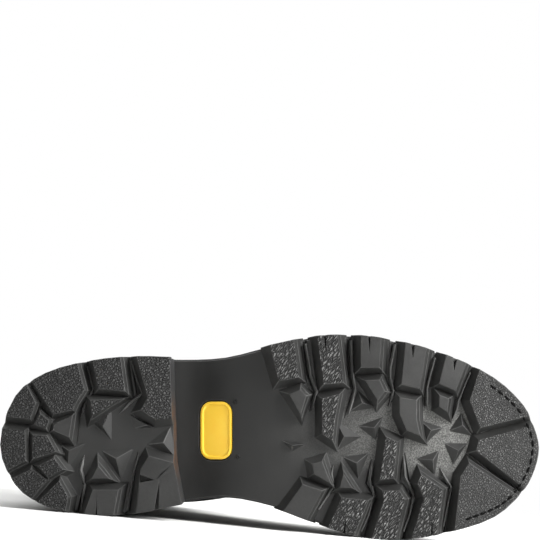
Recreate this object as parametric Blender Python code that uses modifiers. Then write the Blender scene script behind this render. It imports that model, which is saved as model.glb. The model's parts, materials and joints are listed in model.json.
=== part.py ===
"""Lace-up work boot for the right foot, lying on its inner side with the sole upright.

The boot is built standing: X runs to the toe, Y to the inner (medial) side, Z up.
One empty then lays it down on ball edge, heel edge and collar.
Sizes and tables are in millimetres, meshes are in metres.
"""
import math

import bmesh
import bpy
import numpy as np
from mathutils import Matrix, Vector
from mathutils.bvhtree import BVHTree

MM = 0.001
GAP = 0.3

# Driving dimensions of the sole
LUG_DEPTH = 7.5
HEEL_LUG_DEPTH = 8.0
HEEL_HEIGHT = 28.0
BASE_THICKNESS = 7.0
TOE_SPRING = 15.0
SPRING_STARTS = 205.0
DRAFT = 0.55
MITRE_LIMIT = 1.7
OUTLINE_STEPS = 3
RIB_HEIGHT = 2.7
EDGE_STEP = 3.0
PYRAMID_HEIGHT = 4.2
SLIT_WIDTH = 2.4
SLIT_DEPTH = 2.5
SLIT_END_WIDTH = 0.4
SLIT_END_DEPTH = 0.8
SIPE_DEPTH = 4.0
BREAST_SLANT = 3.0
HEEL_STEP = 13.0

# Heights and reaches well clear of the sole, for cutters
CUT_LOW = -40.0
CUT_HIGH = 80.0
CUT_SIDE = 90.0

# Driving dimensions of the upper
WELT_THICKNESS = 3.5
SEAT_GAP = 0.6
WELT_INSET = 1.2
WELT_REACH = 13.0
LAST_INSET = 10.5
HEEL_ROUND = 58.0
FEATHER_DROP = 3.0
LEAST_BULGE = 1.5
WALL = 2.2
QUARTER_STEP = 1.3
STAY_STEP = 1.2
COLLAR_STEP = 1.5
STAY_WIDTH = 24.0
STEP_RUN = 0.8
COLLAR_BAND = 2.6
COLLAR_SWEEP = 1.7
THROAT_AT = 8.7
SEAM_SWEEP = 1.6
COUNTER_THICKNESS = 1.4
TONGUE_THICKNESS = 3.5
TONGUE_HALF = 29.0
TONGUE_ROOT_HALF = 24.0
TONGUE_FULL_AT = 12
TONGUE_DEPTH = 1.5
EYELETS = 8
EYELET_IN = 10.0
FIRST_EYELET = 4.0
LAST_EYELET = 9.0
LACE_RADIUS = 2.0
LACE_CLEARANCE = 1.3
ROUNDNESS = 2.3

# Sole outline from heel to toe: distance from the heel, lateral reach, medial reach
OUTLINE = (
    (8.5, 22.5, 27.5),
    (25.5, 35.5, 39.5),
    (51, 42.5, 44.5),
    (76, 45, 44),
    (102, 44.5, 39),
    (127, 45.5, 36),
    (153, 51.5, 40.5),
    (178, 56.5, 49.5),
    (203, 57, 57),
    (229, 53, 58.5),
    (254, 45.5, 54.5),
    (280, 33, 46),
    (297, 17.5, 31),
    (303.5, 4, 19),
)
HEEL_END = (0, -5)
TOE_END = (306, -7)

# Underside of the sole between the treads: distance from the heel, height
FLOOR = (
    (0, HEEL_HEIGHT),
    (60, HEEL_HEIGHT),
    (100, HEEL_HEIGHT),
    (110, HEEL_HEIGHT - 0.5),
    (120, 23.0),
    (135, 15.6),
    (147, 10.0),
    (160, LUG_DEPTH),
    (185, LUG_DEPTH),
)

# Lug faces: name, then corners as (from the heel, towards the lateral side)
FOREFOOT_LUGS = (
    ("lateral_1", (152, 54), (165.5, 57.5), (169, 33), (157.5, 31)),
    ("lateral_2", (178.5, 63), (190, 63), (194, 30), (183, 29)),
    ("lateral_3", (204, 63), (216, 61), (214.5, 38.5), (204, 38.5)),
    ("lateral_4", (230, 59), (242, 54), (237.5, 26.5), (227, 29)),
    ("lateral_5", (254, 51), (266.5, 47), (258, 25.5), (248.5, 29.5)),
    ("toe_lateral", (273.5, 43), (308, 23), (305, 12.5), (272, 4.5), (266, 20)),
    ("toe_middle", (271, -2.5), (310.5, 8), (310.5, -40), (269.5, -8.5)),
    ("toe_medial", (265.5, -15.5), (299.5, -38), (282.5, -61.5), (256, -61.5), (260.5, -23)),
    ("medial_1", (171, -27.5), (182, -31), (169.5, -54), (155, -49.5)),
    ("medial_2", (193, -35), (208, -36.5), (197.5, -62), (181, -61)),
    ("medial_3", (216, -31), (225.5, -31), (229, -36), (222, -64), (208, -64), (217, -36)),
    ("medial_4", (238, -22), (250.5, -30.5), (246, -62), (231, -62), (239.5, -35), (236, -27)),
    ("inner_lateral_1", (163.5, 23.5), (169.5, 26), (173, 22.5), (170, 12)),
    ("inner_lateral_2", (182, 21), (192, 23.5), (189, 8), (188, -3), (182, 1)),
    ("inner_lateral_3", (206.5, 31), (214.5, 31.5), (217.5, 25), (213.5, 20)),
    ("inner_lateral_4", (226, 21.5), (235.5, 20), (235.5, 9), (237.5, 0), (230, 3), (226, 12)),
    ("inner_lateral_5", (248.5, 23), (254, 21), (253, 13.5), (248.5, 16.5)),
    ("inner_medial_1", (176.5, -16), (182, -14.5), (187, -27), (177.5, -21.5)),
    ("inner_medial_2", (194, -21.5), (199, -29.5), (192, -29)),
    ("inner_medial_3", (218, -0.5), (224.5, -3.5), (222.5, -24), (214.5, -25)),
)
HEEL_LUGS = (
    ("back_lateral", (-2.5, 11.5), (3.5, 29), (12.5, 33), (20, 18.5), (17, 9.5)),
    ("back", (-3.5, 4.5), (14, 3), (14.5, -14), (1, -21)),
    ("back_medial", (3, -26), (17.5, -19), (26.5, -25.5), (16.5, -37.5)),
    ("lateral_1", (16, 34), (42, 46), (47.5, 26), (43, 19), (41, 14.5), (30, 12)),
    ("lateral_2", (50.5, 49), (67, 49.5), (70.5, 25), (55.5, 26.5)),
    ("lateral_3", (75.5, 50), (110, 52), (110, 11.5), (88, 9), (79.5, 14.5), (83.5, 21.5)),
    ("medial_1", (84, -11.5), (112, -19), (112, -49), (76.5, -49), (79.5, -19)),
    ("medial_2", (52.5, -30.5), (67, -30.5), (63.5, -49), (46, -49)),
    ("medial_3", (33.5, -25.5), (38.5, -34.5), (36, -49), (17.5, -41)),
    ("inner_back_lateral", (22.5, 12.5), (27.5, 8.5), (26, 4), (19.5, 6.5)),
    ("inner_back", (18.5, 0.5), (26.5, 0), (31.5, -9), (18.5, -13)),
    ("inner_back_medial", (21.5, -17), (30.5, -12.5), (35.5, -19), (27.5, -23.5)),
    ("inner_lateral_1", (30.5, 6.5), (41, 11.5), (39, -1), (30, 3)),
    ("inner_lateral_2", (51, 20), (68, 20.5), (52, 11)),
    ("inner_medial_2", (55.5, -17), (61.5, -24), (52, -24)),
)

# Pointed studs: three base corners, then the apex
FOREFOOT_STUDS = (
    ((159, 24), (170.5, 26), (169.5, 8), (168, 19)),
    ((190.5, 7.5), (204.5, -0.5), (190.5, -8.5), (194.5, -0.5)),
    ((197.5, 13.5), (202.5, 25.5), (213.5, 16), (205, 18.5)),
    ((202.5, 5.5), (216.5, 10.5), (212.5, -2.5), (211.5, 4.5)),
    ((237.5, 9), (250.5, 4.5), (240.5, -5), (244, 3)),
    ((254, 2.5), (261.5, 13), (268, 0), (262, 6)),
    ((251, -4), (264.5, -4.5), (256.5, -17), (259.5, -8.5)),
    ((235, -13), (248.5, -8.5), (246, -22.5), (245, -14)),
    ((194, -12), (208.5, -10), (202.5, -24.5), (201.5, -15.5)),
    ((159, -2.5), (173, -4.5), (165, -9), (165, -5.5)),
)
HEEL_STUDS = (
    ((51, 8.5), (62.5, 15.5), (62.5, -2.5), (57.5, 5.5)),
    ((72, 12.5), (88, 4.5), (75.5, 4), (83, 6)),
    ((82.5, -5), (96, 5), (99, -12.5), (92, -4)),
    ((57, -8.5), (75, -7.5), (68, -24.5), (65.5, -13)),
    ((32, -4), (47.5, -4.5), (37.5, -19), (38.5, -8.5)),
)

# Narrow slits between the lugs: from the edge of the sole to where each runs out
FOREFOOT_SLITS = (
    ((171.5, 60), (174, 36), (177.5, 25), (175, 14)),
    ((197.5, 62), (197.5, 34), (200, 26), (194.5, 10)),
    ((224, 60), (220.5, 34), (222.5, 25.5), (219.5, 17)),
    ((249, 54), (242, 27), (240, 15.5)),
    ((270, 44), (260, 20.5), (256, 9.5)),
    ((203, -64), (212, -35), (207, -27), (210, -13.5)),
    ((226, -65), (233, -34), (231, -24), (229, -10)),
    ((250, -63), (253.5, -29.5), (249, -18)),
)
HEEL_SLITS = (
    ((47, 50), (51.5, 26), (47, 20.5), (45, 12)),
    ((73, 52), (77.5, 22.5), (67.5, 12.5)),
    ((42, -53), (47.5, -28), (45, -18)),
    ((71, -53), (75, -23.5), (77.5, -9)),
)

# Wedge cuts in the lug faces: two corners at the mouth, then the point
FOREFOOT_SIPES = (
    ((182, 66), (185, 66), (184, 47.5)),
    ((207, 66), (210, 66), (209, 47)),
    ((231.5, 60), (236, 60), (233.5, 44)),
    ((256, 54), (261.5, 54), (257, 37)),
    ((192, -66), (194.5, -66), (195.5, -44)),
    ((242.5, -66), (245, -66), (244, -45)),
)
HEEL_SIPES = (
    ((85, -54), (89.5, -54), (90, -26)),
    ((53, -54), (55, -54), (55, -36)),
    ((79, -26.5), (79, -22), (87, -25)),
)

# Front of the heel: distance from the heel's back, towards the lateral side
BREAST_SIDE = 70.0
BREAST = ((96, BREAST_SIDE), (98, 14), (99, -15), (109.5, -BREAST_SIDE))

# Plug let into the waist, and its recess
INLAY_CENTRE = (121.5, 3.0)
INLAY_LENGTH = 34.0
INLAY_WIDTH = 21.0
INLAY_THICKNESS = 1.6
INLAY_CORNER = 7.0

# Sections of the last, from the toe to above the collar. Each is a tilted plane:
# its low end on the sole or the back seam, its high end on the vamp or the front.
# A height of None follows the sole. Columns: low_x, low_z, high_x, high_z,
# lateral reach, medial reach, height of the widest place as a share, centre.
SECTIONS = (
    (295.4, None, 295.4, None, 0.5, 0.5, 0.30, 7.0),
    (294.8, None, 294.9, 40.0, 8.0, 8.0, 0.34, 7.0),
    (292.5, None, 292.8, 48.0, 15.5, 15.5, 0.36, 7.0),
    (287.5, None, 288.0, 55.5, 24.5, 23.5, 0.36, 7.0),
    (279.0, None, 279.5, 61.5, 33.5, 30.5, 0.34, 7.0),
    (266.0, None, 267.0, 67.0, 42.5, 37.0, 0.31, 6.5),
    (249.0, None, 251.5, 72.0, 48.5, 41.5, 0.28, 6.0),
    (229.0, None, 234.0, 78.0, 51.5, 44.0, 0.26, 5.5),
    (207.0, None, 217.0, 85.5, 52.0, 43.5, 0.25, 5.0),
    (184.0, None, 201.0, 94.0, 50.5, 39.5, 0.24, 4.5),
    (161.0, None, 186.5, 103.5, 46.5, 34.5, 0.24, 3.5),
    (137.0, None, 173.0, 114.5, 42.0, 31.5, 0.24, 2.5),
    (112.0, None, 161.0, 126.0, 39.0, 31.0, 0.25, 2.0),
    (86.0, None, 151.0, 138.0, 37.5, 33.5, 0.27, 2.0),
    (60.0, None, 144.0, 148.5, 36.5, 34.0, 0.30, 2.0),
    (36.0, None, 139.5, 157.5, 36.0, 34.0, 0.34, 2.0),
    (19.0, None, 136.5, 165.0, 36.0, 34.0, 0.38, 2.0),
    (10.5, None, 134.3, 172.0, 36.0, 34.0, 0.41, 2.0),
    (7.4, 52.0, 132.6, 178.5, 36.0, 34.2, 0.43, 2.0),
    (6.5, 69.0, 131.0, 186.0, 36.0, 34.6, 0.45, 1.5),
    (8.5, 87.0, 129.6, 194.0, 36.3, 35.3, 0.47, 1.0),
    (12.5, 105.0, 128.4, 202.5, 37.0, 36.5, 0.48, 0.0),
    (16.5, 125.0, 127.4, 211.0, 38.0, 37.0, 0.49, -0.5),
    (18.0, 147.0, 126.6, 219.0, 39.0, 37.5, 0.50, -1.0),
    (17.0, 171.0, 126.0, 227.0, 40.0, 38.5, 0.50, -1.5),
    (15.0, 195.0, 125.4, 235.0, 41.0, 39.5, 0.50, -2.0),
    (12.5, 218.0, 125.0, 242.0, 42.0, 40.5, 0.50, -2.0),
    (10.0, 240.0, 124.7, 249.0, 42.5, 41.5, 0.50, -2.0),
    (8.0, 259.0, 124.5, 268.0, 43.0, 42.0, 0.50, -2.0),
)
COLLAR_AT = len(SECTIONS) - 2
HEEL_CORNER_AT = 17
RUN_ON_FROM = 12
RUN_ON_SLOPE = 8.0

# How far the low ends swing to the medial side round the heel, along the sections
HEEL_SWING = (
    (0, 0), (13, 0), (15, 0.5), (16, 1.5), (17, 3), (18, 2.7), (19, 2), (21, 1), (23, 0), (28, 0),
)

# Half width of the throat opening along the sections
THROAT_HALF = ((0, 9), (9, 9), (12, 11), (16, 14), (22, 16), (28, 18))

# Counter: how far it reaches up each section from the run-on end or the back seam
COUNTER = (
    (13.2, 14), (13.5, 30), (14, 48), (15, 70), (16, 82), (16.5, 85.7), (17, 88.3),
    (17.5, 82), (18, 75), (19, 61), (20, 45), (21, 26), (21.6, 8),
)


def clear_scene():
    for old in list(bpy.data.objects):
        bpy.data.objects.remove(old, do_unlink=True)


def collection(name):
    made = bpy.data.collections.new(name)
    bpy.context.scene.collection.children.link(made)
    return made


clear_scene()
PIECES = collection("work_boot")
CUTTERS = collection("cutters")


def material(name, colour, roughness, metallic=0.0):
    made = bpy.data.materials.new(name)
    made.use_nodes = True
    shader = made.node_tree.nodes["Principled BSDF"]
    shader.inputs["Base Color"].default_value = (*colour, 1)
    shader.inputs["Roughness"].default_value = roughness
    shader.inputs["Metallic"].default_value = metallic
    return made


RUBBER = material("black_rubber", (0.02, 0.02, 0.022), 0.55)
YELLOW = material("yellow_plug", (0.75, 0.5, 0.05), 0.5)
LEATHER = material("black_leather", (0.03, 0.028, 0.027), 0.45)
BOARD = material("footbed_board", (0.35, 0.24, 0.15), 0.8)
CORD = material("black_cord", (0.02, 0.02, 0.02), 0.8)
BRASS = material("aged_brass", (0.45, 0.33, 0.14), 0.4, 1.0)


def add(name, mesh, where, finish=None):
    """Object from a mesh in millimetres, placed as built."""
    mesh.transform(Matrix.Scale(MM, 4))
    made = bpy.data.objects.new(name, mesh)
    where.objects.link(made)
    if finish:
        mesh.materials.append(finish)
    else:
        made.hide_render = True
        made.display_type = "WIRE"
    return made


def mesh_from(name, points, faces, merge=0.0):
    """Mesh in millimetres with its faces turned outwards."""
    bm = bmesh.new()
    made = [bm.verts.new(point) for point in points]
    for face in faces:
        bm.faces.new([made[index] for index in face])
    if merge:
        bmesh.ops.remove_doubles(bm, verts=bm.verts, dist=merge)
    bmesh.ops.recalc_face_normals(bm, faces=bm.faces)
    mesh = bpy.data.meshes.new(name)
    bm.to_mesh(mesh)
    bm.free()
    return mesh


def smooth(table, at):
    """Smooth curve through rows of (position, values...), read at one position."""
    rows = np.asarray(table, float)
    x = rows[:, 0]
    y = rows[:, 1:]
    slopes = np.gradient(y, x, axis=0)
    at = min(max(at, x[0]), x[-1])
    low = int(np.clip(np.searchsorted(x, at) - 1, 0, len(x) - 2))
    span = x[low + 1] - x[low]
    u = (at - x[low]) / span
    start = (1 + 2 * u) * (1 - u) ** 2 * y[low] + u * (1 - u) ** 2 * span * slopes[low]
    end = u * u * (3 - 2 * u) * y[low + 1] + u * u * (u - 1) * span * slopes[low + 1]
    value = start + end
    return float(value[0]) if len(value) == 1 else value


# Heights along the sole
def tread(x):
    """Height of the lug faces: flat, then rising to the toe."""
    rise = max(0.0, x - SPRING_STARTS) / (TOE_END[0] - SPRING_STARTS)
    return TOE_SPRING * rise * rise


def tread_slope(x):
    length = TOE_END[0] - SPRING_STARTS
    return 2 * TOE_SPRING * max(0.0, x - SPRING_STARTS) / length ** 2


def floor(x):
    """Underside of the sole between the lugs."""
    if x < FLOOR[-1][0]:
        return smooth(FLOOR, x)
    return tread(x) + LUG_DEPTH


def seat(x):
    """Top of the outsole, which the welt and the insole lie on."""
    return floor(x) + BASE_THICKNESS


def feather(x):
    """Where the upper begins, just above the welt."""
    return seat(x) + SEAT_GAP + WELT_THICKNESS + 2 * GAP


# Sole outline
def outline_loop(inset, per_span):
    """Closed outline moved inwards: heel end first, up the lateral side and back.

    Returns rows of (x, y), with the same places at the same index for any inset.
    """
    lateral = [(x, -out) for x, out, _ in OUTLINE]
    medial = [(x, out) for x, _, out in reversed(OUTLINE)]
    ends = [(HEEL_END[0], -HEEL_END[1])], [(TOE_END[0], -TOE_END[1])]
    corners = np.array(ends[0] + lateral + ends[1] + medial, float)
    count = len(corners)
    points = []
    tangents = []
    for i in range(count):
        before, here, there, after = (corners[(i + k) % count] for k in (-1, 0, 1, 2))
        chord = np.linalg.norm(there - here)
        leave = (there - before) / (np.linalg.norm(here - before) + chord) * chord
        arrive = (after - here) / (np.linalg.norm(after - there) + chord) * chord
        for u in np.arange(per_span) / per_span:
            blend = u * u * (3 - 2 * u)
            points.append(
                here * (1 - blend) + there * blend
                + u * (1 - u) ** 2 * leave + u * u * (u - 1) * arrive
            )
            tangents.append(
                6 * u * (1 - u) * (there - here)
                + (1 - u) * (1 - 3 * u) * leave + u * (3 * u - 2) * arrive
            )
    points = np.array(points)
    tangents = np.array(tangents)
    tangents /= np.linalg.norm(tangents, axis=1)[:, None]
    inwards = np.stack([-tangents[:, 1], tangents[:, 0]], axis=1)
    return points + inwards * inset


def edges_at(inset):
    """Function of x giving (lateral, medial) reach of the outline moved inwards."""
    loop = outline_loop(inset, 12)
    heel = int(np.argmin(loop[:, 0]))
    loop = np.roll(loop, -heel, axis=0)
    toe = int(np.argmax(loop[:, 0]))
    lateral = loop[:toe + 1]
    medial = np.vstack([loop[toe:], loop[:1]])[::-1]

    def reach(x):
        return (
            -float(np.interp(x, lateral[:, 0], lateral[:, 1])),
            float(np.interp(x, medial[:, 0], medial[:, 1])),
        )
    return reach


def walls(levels, count):
    """Quads between loops of the same count that are stacked on each other."""
    return [
        (level * count + i, level * count + (i + 1) % count,
         (level + 1) * count + (i + 1) % count, (level + 1) * count + i)
        for level in range(levels - 1) for i in range(count)
    ]


def plate_mesh(name, levels):
    """Solid with the sole's outline: levels of (inset, height function), low to high."""
    loops = [outline_loop(inset, OUTLINE_STEPS) for inset, _ in levels]
    count = len(loops[0])
    points = [
        (x, y, height(x)) for loop, (_, height) in zip(loops, levels) for x, y in loop
    ]
    faces = walls(len(levels), count)
    top = (len(levels) - 1) * count
    for first in (0, top):
        for i in range(count // 2):
            strip = [i, i + 1, count - i - 1, (count - i) % count]
            faces.append([first + k for k in dict.fromkeys(strip)])
    return mesh_from(name, points, faces)


def band_mesh(name, outer, inner, low, high):
    """Ring along the sole's outline."""
    corners = ((outer, low), (outer, high), (inner, high), (inner, low), (outer, low))
    loops = [outline_loop(inset, OUTLINE_STEPS) for inset, _ in corners]
    points = [
        (x, y, height(x)) for loop, (_, height) in zip(loops, corners) for x, y in loop
    ]
    return mesh_from(name, points, walls(len(corners), len(loops[0])), merge=0.001)


# Tread
def grown(corners, by):
    """Polygon moved outwards, with sharp corners held back."""
    points = np.array(corners, float)
    ahead = np.roll(points, -1, axis=0)
    area = np.sum(points[:, 0] * ahead[:, 1] - ahead[:, 0] * points[:, 1])
    along = ahead - points
    along /= np.linalg.norm(along, axis=1)[:, None]
    outwards = np.stack([along[:, 1], -along[:, 0]], axis=1) * np.sign(area)
    before = np.roll(outwards, 1, axis=0)
    corner = (outwards + before) / (1 + np.sum(outwards * before, axis=1))[:, None]
    length = np.linalg.norm(corner, axis=1)
    corner *= (np.minimum(length, MITRE_LIMIT) / length)[:, None]
    return points + corner * by


def lug(name, corners, depth, where):
    """Block with drafted walls, its face on the ground plane or the toe spring."""
    middle = float(np.mean([x for x, _ in corners]))
    rise = depth + RIB_HEIGHT
    points = []
    for polygon, lift in ((corners, 0.0), (grown(corners, DRAFT * rise), rise)):
        for x, out in polygon:
            face = max(0.0, tread(middle) + tread_slope(middle) * (x - middle))
            points.append((x, -out, face + lift))
    count = len(corners)
    caps = [range(count), range(count, 2 * count)]
    return add(name, mesh_from(name, points, walls(2, count) + caps), where)


def stud(name, corners, under, where):
    """Three-sided point, run on a little into the sole."""
    bury = 1.0
    apex_x, apex_out = corners[3]
    spread = (PYRAMID_HEIGHT + bury) / PYRAMID_HEIGHT
    points = [(apex_x, -apex_out, under(apex_x) - PYRAMID_HEIGHT)]
    for x, out in corners[:3]:
        base_x = apex_x + (x - apex_x) * spread
        base_out = apex_out + (out - apex_out) * spread
        points.append((base_x, -base_out, under(x) + bury))
    faces = [(0, 1, 2), (0, 2, 3), (0, 3, 1), (1, 2, 3)]
    return add(name, mesh_from(name, points, faces), where)


def slit(name, route, under, where):
    """Tapered channel cut up into the sole."""
    route = np.array([(x, -out) for x, out in route], float)
    along = np.gradient(route, axis=0)
    along /= np.linalg.norm(along, axis=1)[:, None]
    across = np.stack([-along[:, 1], along[:, 0]], axis=1)
    widths = np.linspace(SLIT_WIDTH, SLIT_END_WIDTH, len(route))
    depths = np.linspace(SLIT_DEPTH, SLIT_END_DEPTH, len(route))
    mouth = 0.75
    bottom = 0.2
    points = []
    for (x, y), side, width, depth in zip(route, across, widths, depths):
        low = under(x) - 1.0
        high = under(x) + depth
        for reach, z in ((mouth, low), (-mouth, low), (-bottom, high), (bottom, high)):
            points.append((x + side[0] * width * reach, y + side[1] * width * reach, z))
    last = len(points) - 4
    caps = [range(4), range(last, last + 4)]
    return add(name, mesh_from(name, points, walls(len(route), 4) + caps), where)


def sipe(name, corners, where):
    """Wedge cut into a lug's face."""
    points = [(x, -out, z) for z in (CUT_LOW, SIPE_DEPTH) for x, out in corners]
    points = [(x, y, z + tread(x)) for x, y, z in points]
    faces = walls(2, 3) + [(0, 1, 2), (3, 4, 5)]
    return add(name, mesh_from(name, points, faces), where)


def boolean(piece, operation, other):
    made = piece.modifiers.new(operation.lower(), "BOOLEAN")
    made.operation = operation
    made.solver = "EXACT"
    if isinstance(other, bpy.types.Collection):
        made.operand_type = "COLLECTION"
        made.collection = other
    else:
        made.object = other


def group(name):
    made = bpy.data.collections.new(name)
    CUTTERS.children.link(made)
    return made


def dress_tread(piece, label, lugs, studs, slits, sipes, depth, under):
    """Adds the lugs and studs to a sole piece, trims them to its outline and cuts it."""
    raised = group(label + "_lugs")
    cuts = group(label + "_cuts")
    for name, *corners in lugs:
        lug(label + "_lug_" + name, corners, depth, raised)
    for number, corners in enumerate(studs):
        stud(label + f"_stud_{number}", corners, under, raised)
    for number, route in enumerate(slits):
        slit(label + f"_slit_{number}", route, under, cuts)
    for number, corners in enumerate(sipes):
        sipe(label + f"_sipe_{number}", corners, cuts)
    trim = add(
        label + "_trim",
        plate_mesh(label + "_trim", ((0, lambda x: CUT_LOW), (0, lambda x: CUT_HIGH))),
        CUTTERS,
    )
    boolean(piece, "UNION", raised)
    boolean(piece, "INTERSECT", trim)
    boolean(piece, "DIFFERENCE", cuts)


def inlay_mesh(name, grow, low, high):
    """Plug with round corners, square to the sloping waist."""
    centre_x, centre_out = INLAY_CENTRE
    pitch = math.atan((floor(centre_x + 4) - floor(centre_x - 4)) / 8)
    half_x = INLAY_WIDTH / 2 - INLAY_CORNER
    half_y = INLAY_LENGTH / 2 - INLAY_CORNER
    radius = INLAY_CORNER + grow
    points = []
    for z in (low, high):
        for quarter, (sign_x, sign_y) in enumerate(((1, 1), (-1, 1), (-1, -1), (1, -1))):
            for step in range(5):
                turn = math.radians(90 * quarter + 22.5 * step)
                points.append((
                    sign_x * half_x + radius * math.cos(turn),
                    sign_y * half_y + radius * math.sin(turn),
                    z,
                ))
    count = len(points) // 2
    faces = walls(2, count) + [range(count), range(count, 2 * count)]
    mesh = mesh_from(name, points, faces)
    mesh.transform(Matrix.Rotation(-pitch, 4, "Y"))
    mesh.transform(Matrix.Translation((centre_x, -centre_out, floor(centre_x))))
    return mesh


def make_outsole():
    levels = (
        (1.6, floor),
        (1.6, lambda x: floor(x) + EDGE_STEP),
        (0.7, lambda x: floor(x) + EDGE_STEP + 0.2),
        (0.7, seat),
    )
    piece = add("outsole", plate_mesh("outsole", levels), PIECES, RUBBER)
    dress_tread(
        piece, "forefoot", FOREFOOT_LUGS, FOREFOOT_STUDS, FOREFOOT_SLITS, FOREFOOT_SIPES,
        LUG_DEPTH, floor,
    )
    recess = add("recess", inlay_mesh("recess", GAP, -4.0, INLAY_THICKNESS), CUTTERS)
    boolean(piece, "DIFFERENCE", recess)


def make_inlay():
    mesh = inlay_mesh("sole_inlay", 0.0, -0.2, INLAY_THICKNESS - GAP)
    add("sole_inlay", mesh, PIECES, YELLOW)


def heel_floor(x):
    return HEEL_LUG_DEPTH


def make_heel():
    levels = (
        (1.3, heel_floor),
        (1.3, lambda x: HEEL_STEP),
        (0.6, lambda x: HEEL_STEP + 0.3),
        (0.6, lambda x: HEEL_HEIGHT - GAP),
    )
    piece = add("heel", plate_mesh("heel", levels), PIECES, RUBBER)
    dress_tread(
        piece, "heel", HEEL_LUGS, HEEL_STUDS, HEEL_SLITS, HEEL_SIPES,
        HEEL_LUG_DEPTH, heel_floor,
    )
    points = []
    for z, shift in ((CUT_LOW, -BREAST_SLANT), (CUT_HIGH, BREAST_SLANT)):
        points += [(x + shift, -out, z) for x, out in BREAST]
        points += [(TOE_END[0], BREAST_SIDE, z), (TOE_END[0], -BREAST_SIDE, z)]
    count = len(points) // 2
    faces = walls(2, count) + [range(count), range(count, 2 * count)]
    front = add("breast", mesh_from("breast", points, faces), CUTTERS)
    boolean(piece, "DIFFERENCE", front)


def make_welt_and_insole():
    def low(x):
        return seat(x) + SEAT_GAP

    def high(x):
        return seat(x) + SEAT_GAP + WELT_THICKNESS

    mesh = band_mesh("welt", WELT_INSET, WELT_REACH, low, high)
    add("welt", mesh, PIECES, LEATHER)
    inset = WELT_REACH + GAP
    add("insole", plate_mesh("insole", ((inset, low), (inset, high))), PIECES, BOARD)


# Last: points on the inside of the upper
SOLE_EDGE = edges_at(LAST_INSET)
SECTION_SAMPLES = 90
SECTION_CACHE = {}


def last_edge(x):
    """Reach of the last's lower edge to either side: a round heel, then the sole's outline."""
    lateral, medial = SOLE_EDGE(max(x, HEEL_ROUND))
    if x >= HEEL_ROUND:
        return lateral, medial
    back = (HEEL_ROUND - x) / (HEEL_ROUND - LAST_INSET)
    half = (lateral + medial) / 2 * max(0.0, 1 - back ** ROUNDNESS) ** (1 / ROUNDNESS)
    start = (medial - lateral) / 2
    middle = start + (-HEEL_END[1] - start) * back * back
    return half - middle, half + middle


def section_ends(row):
    """A section's row with the heights that follow the sole filled in."""
    low_x, low_z, high_x, high_z, *widths = row
    low_z = feather(low_x) - FEATHER_DROP if low_z is None else low_z
    high_z = low_z + 1.0 if high_z is None else high_z
    return (low_x, low_z, high_x, high_z, *widths)


LAST_ROWS = [(at, *section_ends(row)) for at, row in enumerate(SECTIONS)]
SOLE_ENDS = [row[:2] for row in LAST_ROWS[:HEEL_CORNER_AT + 1]]
SEAM_ENDS = [row[:3] for row in LAST_ROWS[HEEL_CORNER_AT:]]


def section(at):
    """Both sides of the last at a section: arc lengths and points, ridge to sole."""
    at = round(at, 4)
    if at not in SECTION_CACHE:
        _, _, high_x, high_z, lateral, medial, widest, centre = smooth(LAST_ROWS, at)
        swing = smooth(HEEL_SWING, at)
        if at <= HEEL_CORNER_AT:
            low_x = smooth(SOLE_ENDS, at)
            low_z = feather(low_x) - FEATHER_DROP
            edges = last_edge(low_x)
            feet = (edges[0] + centre + swing, edges[1] - centre - swing)
        else:
            low_x, low_z = smooth(SEAM_ENDS, at)
            feet = (0.0, 0.0)
        low = np.array([low_x, 0, low_z])
        high = np.array([high_x, 0, high_z])
        sides = []
        for sign, half, foot in ((-1, lateral, feet[0]), (1, medial, feet[1])):
            foot = max(foot, 0.0)
            half = max(half, foot + LEAST_BULGE)
            tuck = math.acos((foot / half) ** (ROUNDNESS / 2))
            turn = np.linspace(math.pi / 2, -tuck, SECTION_SAMPLES)
            out = half * np.abs(np.cos(turn)) ** (2 / ROUNDNESS)
            above = widest + (1 - widest) * np.abs(np.sin(turn)) ** (2 / ROUNDNESS)
            below = widest * (1 - np.abs(np.sin(turn)) / math.sin(tuck))
            height = np.where(turn > 0, above, below)
            points = low + (high - low) * height[:, None]
            points[:, 1] = centre + swing * (1 - height) + sign * out
            steps = np.linalg.norm(np.diff(points, axis=0), axis=1)
            sides.append((np.concatenate([[0], np.cumsum(steps)]), points))
        SECTION_CACHE[at] = sides
    return SECTION_CACHE[at]


def on_arc(at, side, arc):
    """Point of the last at a distance along the section from its ridge."""
    arcs, points = section(at)[side]
    return np.array([np.interp(arc, arcs, points[:, axis]) for axis in range(3)])


def throat_half(at, side):
    return min(smooth(THROAT_HALF, at), 0.16 * section(at)[side][0][-1])


def on_side(at, side, share):
    """Point of the last between throat edge (share 0) and sole edge (share 1)."""
    start = throat_half(at, side)
    end = section(at)[side][0][-1]
    return on_arc(at, side, start + share * (end - start))


def swept(row, share):
    """Section of a grid row: rows sweep back down the vamp seam and up round the collar."""
    near_seam = math.exp(-((row - THROAT_AT) / 3.2) ** 2)
    near_band = np.interp(row, (21, COLLAR_AT - COLLAR_BAND, COLLAR_AT), (0, 1, 0))
    return row + SEAM_SWEEP * near_seam * share ** 1.3 + COLLAR_SWEEP * near_band * share


def normal_at(at, side, share):
    """Outward direction of the last."""
    step = 0.02
    reach = 1.5
    start = throat_half(at, side)
    end = section(at)[side][0][-1]
    arc = start + share * (end - start)
    along = on_arc(at + step, side, arc) - on_arc(at - step, side, arc)
    down = on_arc(at, side, min(arc + reach, end)) - on_arc(at, side, max(arc - reach, 0))
    facing = np.cross(along, down) * (1 if side == 0 else -1)
    return facing / np.linalg.norm(facing)


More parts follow.
